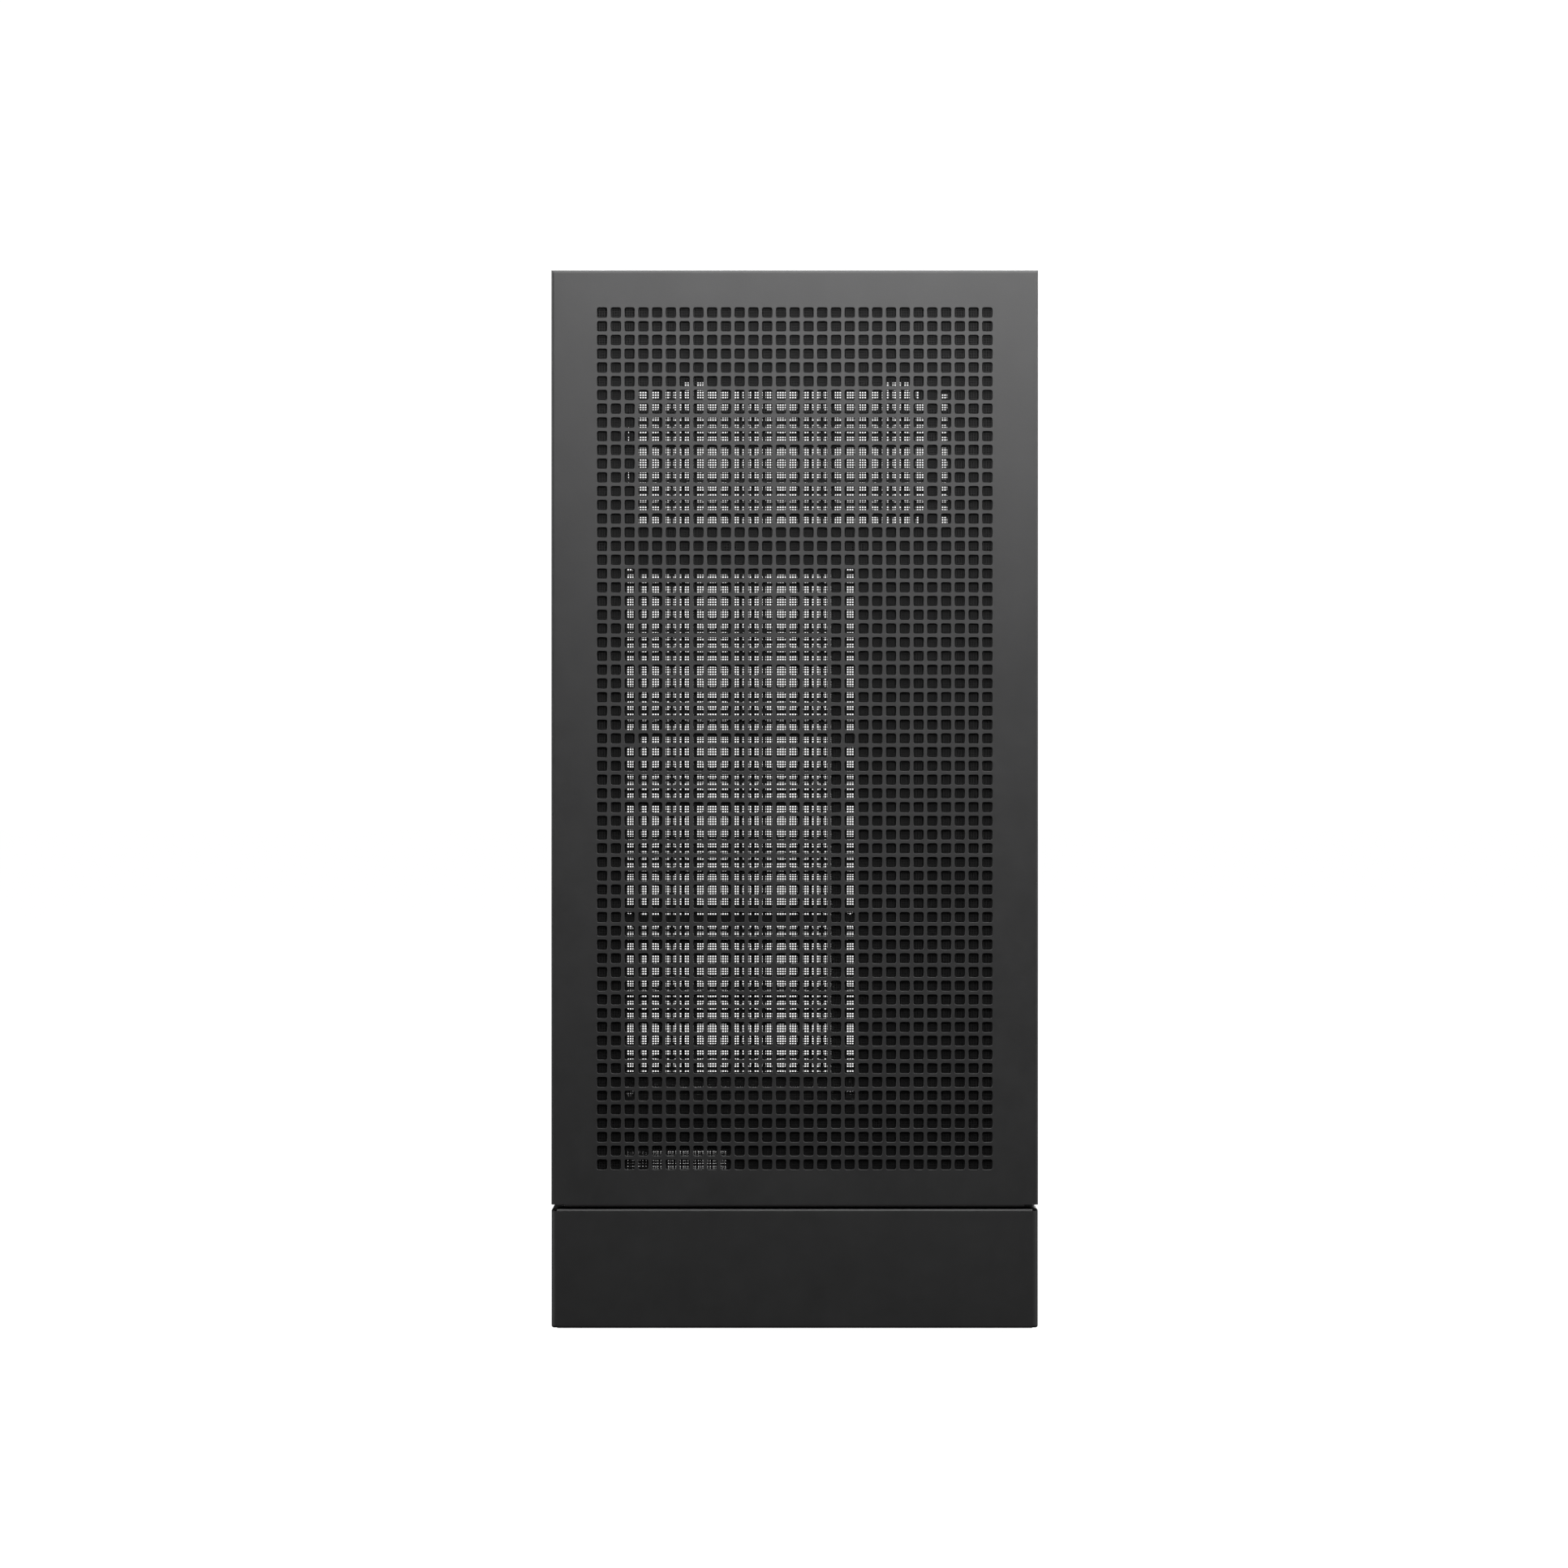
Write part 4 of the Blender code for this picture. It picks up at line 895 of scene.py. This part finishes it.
# ---------------------------------------------------------------- fasteners and snap tips
front_frame_y = limits("front_frame")[0].y
rear_frame_y = limits("rear_frame")[1].y
tray_x = limits("motherboard_tray")[1].x
bracket_x = limits("fan_bracket")[1].x
shelf_z = limits("supply_shelf")[1].z
floor_z = limits("floor_plate")[1].z
clamp_low, clamp_high = limits("slot_clamp")
# Places on each part's face: X and Z on the end frames, Y and Z on the bracket and tray, X and Y on level parts.
END_SCREWS = [(x, z) for x in (-72.5, 72.5) for z in (58.5, 150.0, 268.0, 346.0)]
BRACKET_SCREWS = [(y, z) for y in (-94.0, 94.0) for z in (76.0, 208.0, 338.0)]
TRAY_SCREWS = [(y, z) for y in (-99.0, 99.0) for z in (73.0, 165.0, 256.0)]
SHELF_SCREWS = [(x, y) for x in (-69.0, 66.0) for y in (-103.0, -5.0)]
BASE_SCREWS = [(x, y) for x in (-77.0, 77.0) for y in (-112.0, 0.0, 112.0)]
END_RIVETS = [(x, 71.5) for x in (-62.0, -30.0, 0.0, 30.0, 62.0)] + [(x, 270.4) for x in (-66.0, -22.0, 22.0, 66.0)]
FLOOR_RIVETS = [(x, y) for x in (-66.0, 30.0) for y in (-80.0, 0.0, 80.0)]
CLAMP_SCREW_XS = (-28.0, 12.0)

frame_screws = []
for y, facing in ((front_frame_y, "-Y"), (rear_frame_y, "+Y")):
    frame_screws += [((x, y, z), facing) for x, z in END_SCREWS]
frame_screws += [((bracket_x, y, z), "+X") for y, z in BRACKET_SCREWS]
frame_screws += [((tray_x, y, z), "+X") for y, z in TRAY_SCREWS]
frame_screws += [((x, y, shelf_z), "+Z") for x, y in SHELF_SCREWS]
screws("frame_screws", frame_screws, SCREW_RADIUS, FRAME_SCREW_HEIGHT, "chassis", screw_steel)
RIVET = [(2.1, 0.0), (2.1, 0.2), (1.7, 0.55), (0.9, 0.8), (0.3, 0.85)]
rivets = [((x, front_frame_y, z), "-Y") for x, z in END_RIVETS]
rivets += [((x, y, floor_z), "+Z") for x, y in FLOOR_RIVETS]
lathe("frame_rivets", RIVET, rivets, "chassis", frame_coat, 20)
THUMB_SCREW = [(4.2, 0.0), (4.5, 0.3), (4.5, 2.6), (4.1, 3.0), (2.2, 3.0), (2.0, 2.5), (0.4, 2.5)]
thumb_screws = [((x, clamp_low.y, (clamp_low.z + clamp_high.z) / 2), "-Y") for x in CLAMP_SCREW_XS]
lathe("clamp_screws", THUMB_SCREW, thumb_screws, "chassis", screw_steel, 36)
base_screws = [((x, y, plate_low.z), "-Z") for x, y in BASE_SCREWS]
screws("base_screws", base_screws, SCREW_RADIUS, BASE_SCREW_HEIGHT, "chassis", screw_steel)

# Snap tips: their section, how far they overlap their rail, and their places, as in the tables above.
TIP = [(1.95, 0.0), (2.3, 0.9), (2.25, 1.5), (1.1, 2.5)]
TIP_OVERLAP = 1.5
END_SNAPS = (("top", 66.0, 356.3), ("bottom", 72.0, 51.0))
SIDE_SNAPS = (("top", 355.4), ("bottom", 52.3))
SIDE_SNAP_Y = 90.0
TOP_SNAPS = [(x, y) for x in (-69.0, 69.0) for y in (-98.0, 98.0)]
snaps = {"front_cover": [], "rear_cover": [], "left_cover": [], "right_cover": []}
for title, sign, facing in (("front", -1, "+Y"), ("rear", 1, "-Y")):
    for level, x, z in END_SNAPS:
        low, high = limits(f"{title}_snap_rail_{level}")
        tip = min(abs(low.y), abs(high.y)) + TIP_OVERLAP
        snaps[f"{title}_cover"] += [((hand * x, sign * tip, z), facing) for hand in (-1, 1)]
for title, sign, facing in (("left", -1, "+X"), ("right", 1, "-X")):
    for level, z in SIDE_SNAPS:
        low, high = limits(f"{title}_snap_rail_{level}")
        tip = min(abs(low.x), abs(high.x)) + TIP_OVERLAP
        snaps[f"{title}_cover"] += [((sign * tip, y, z), facing) for y in (-SIDE_SNAP_Y, SIDE_SNAP_Y)]
top_tip = limits("top_snap_rail_front")[0].z + TIP_OVERLAP
snaps["top_cover"] = [((x, y, top_tip), "-Z") for x, y in TOP_SNAPS]
for body, places in snaps.items():
    lathe(f"{body}_snap_tips", TIP, places, body, moulded, 20)

# ---------------------------------------------------------------- riser and inner lead
slot_low, slot_high = limits("riser_slot")
slot_mid_y = (slot_low.y + slot_high.y) / 2
# The slot's contacts: the heights between which each run of them lies, a millimetre apart, and their distance from the
# slot's middle.
CONTACT_RUNS = ((112.6, 122.6), (125.6, 196.6))
CONTACT_SIDE = 0.78
pins = []
for start, stop in CONTACT_RUNS:
    for number in range(int(stop - start)):
        z = start + number
        for sign in (-1, 1):
            y = slot_mid_y + sign * CONTACT_SIDE
            pins.append(((slot_low.x + 1.2, y - 0.18, z - 0.25), (slot_low.x + 7.6, y + 0.18, z + 0.25)))
boxes("riser_contacts", pins, "chassis", gold_contact)

ribbon_low, ribbon_high = limits("riser_ribbon")
RIBS = 40
RIB_SAMPLES = 4
RIBBON_THICK = 0.5
BEND_STEPS = 16


def ribbed_ribbon():
    """The flat cable: its path with parallel conductors that show as ridges along it."""
    thick = RIBBON_THICK
    legs = ribbon_low.x + thick, ribbon_high.x - thick
    turn = (legs[1] - legs[0]) / 2
    bend_y = ribbon_low.y + thick + turn
    path = [((legs[0], ribbon_high.y), (-1.0, 0.0))]
    for step in range(BEND_STEPS + 1):
        angle = math.pi + math.pi * step / BEND_STEPS
        normal = (math.cos(angle), math.sin(angle))
        path.append(((legs[0] + turn + turn * normal[0], bend_y + turn * normal[1]), normal))
    path.append(((legs[1], ribbon_high.y - 1.1), (1.0, 0.0)))
    count = RIBS * RIB_SAMPLES
    points, faces = [], []
    for sign in (1, -1):
        for (x, y), (nx, ny) in path:
            for k in range(count + 1):
                height = 0.5 * thick + 0.45 * thick * abs(math.sin(math.pi * k / RIB_SAMPLES))
                z = ribbon_low.z + (ribbon_high.z - ribbon_low.z) * k / count
                points.append((x + sign * nx * height, y + sign * ny * height, z))
    row = count + 1
    back = len(path) * row
    for i in range(len(path) - 1):
        for k in range(count):
            a, b, c, d = i * row + k, (i + 1) * row + k, (i + 1) * row + k + 1, i * row + k + 1
            faces += [[a, b, c, d], [back + d, back + c, back + b, back + a]]
        for k in (0, count):
            a, b = i * row + k, (i + 1) * row + k
            faces.append([b, a, back + a, back + b] if k == 0 else [a, b, back + b, back + a])
    for i in (0, len(path) - 1):
        for k in range(count):
            a, b = i * row + k, i * row + k + 1
            faces.append([a, b, back + b, back + a] if i == 0 else [b, a, back + a, back + b])
    return mesh_of("riser_flat_cable", points, faces)


RIB_SMOOTH_ANGLE = 60.0
finished("riser_flat_cable", ribbed_ribbon(), moulded, "chassis", ("riser_ribbon",), RIB_SMOOTH_ANGLE)

board_low, board_high = limits("riser_board")
CHIP_ROWS, CHIP_PITCH, FIRST_CHIP = 9, 10, 14
chips = []
for row in range(CHIP_ROWS):
    z = board_low.z + FIRST_CHIP + row * CHIP_PITCH
    chips.append(((board_high.x, board_high.y - 8.0, z), (board_high.x + 0.7, board_high.y - 5.2, z + 1.6)))
    chips.append(((board_high.x, board_high.y - 12.0, z + 3), (board_high.x + 0.5, board_high.y - 11.2, z + 4.6)))
io_low, io_high = limits("io_board")
chips.append(((io_low.x + 2, io_low.y + 12, io_high.z), (io_low.x + 8, io_low.y + 18, io_high.z + 0.9)))
chips.append(((io_low.x + 1, io_high.y - 9, io_high.z), (io_low.x + 5, io_high.y - 2, io_high.z + 5.5)))
boxes("board_components", chips, "chassis", moulded, 0.1)

# The lead's upright run stands at LEAD_X and LEAD_Y, its level run lies at LEAD_X and LEAD_Z.
plug_bottom = limits("inlet_plug")[0].z
LEAD_X, LEAD_Y, LEAD_Z = 62.0, -96.0, 11.2
LEAD_R = 3.3
RELIEF_LENGTH = 13.0
STRAIN_RELIEF = [
    (LEAD_R + 0.1, 0.0), (LEAD_R + 0.5, 0.4), (LEAD_R + 0.6, 3.2), (LEAD_R + 0.2, 3.6), (LEAD_R + 0.8, 4.0),
    (LEAD_R + 1.2, 7.4), (LEAD_R + 0.7, 7.8), (LEAD_R + 1.6, 8.2), (LEAD_R + 2.4, 13.2),
]
lathe("lead_strain_relief", STRAIN_RELIEF, [((LEAD_X, LEAD_Y, plug_bottom - RELIEF_LENGTH), "+Z")], "chassis", moulded,
      28)
# Ties sit on the upright run at these heights, and on the level run at these places along Y.
TIE_HEIGHTS = (92.0, 170.0)
TIE_PLACES = (-55.0, 5.0)
TIE = [(LEAD_R - 0.1, 0.0), (LEAD_R + 0.7, 0.0), (LEAD_R + 0.7, 2.6), (LEAD_R - 0.1, 2.6)]
ties = [((LEAD_X, LEAD_Y, z), "+Z") for z in TIE_HEIGHTS] + [((LEAD_X, y, LEAD_Z), "+Y") for y in TIE_PLACES]
lathe("lead_ties", TIE, ties, "chassis", moulded, 28, hoop=True)
heads = [((LEAD_X - 1.8, LEAD_Y + LEAD_R, z - 0.6), (LEAD_X + 1.8, LEAD_Y + LEAD_R + 2.6, z + 3.2))
         for z in TIE_HEIGHTS]
heads += [((LEAD_X - 1.8, y - 0.6, LEAD_Z + LEAD_R), (LEAD_X + 1.8, y + 3.2, LEAD_Z + LEAD_R + 2.6))
          for y in TIE_PLACES]
boxes("lead_tie_heads", heads, "chassis", moulded, 0.4)

# ---------------------------------------------------------------- CAD pieces that stay
finishes = {
    "panel_steel": panel_coat, "frame_steel": frame_coat, "filter_mesh": wire_coat, "black_plastic": moulded,
    "rubber": soft_rubber, "brass": stud_brass, "bright_steel": bare_steel, "board": board_mask,
}
ROUNDED_STEEL = ("front_frame", "rear_frame", "floor_plate", "motherboard_tray", "fan_bracket", "supply_shelf",
                 "top_left_rail", "top_right_rail", "bottom_left_rail", "bottom_right_rail")
for entry in frame["record"]["subparts"]:
    node = frame["nodes"][entry["node"]]
    node.data.materials.clear()
    node.data.materials.append(finishes[entry["material_slot"]])
    if entry["node"] in ROUNDED_STEEL or entry["material_slot"] == "black_plastic":
        edges = node.modifiers.new("edges", "BEVEL")
        edges.width = EDGE_ROUNDING * MM
        edges.segments = 2
        edges.limit_method = "ANGLE"
        edges.angle_limit = math.radians(50)
        edges.harden_normals = True
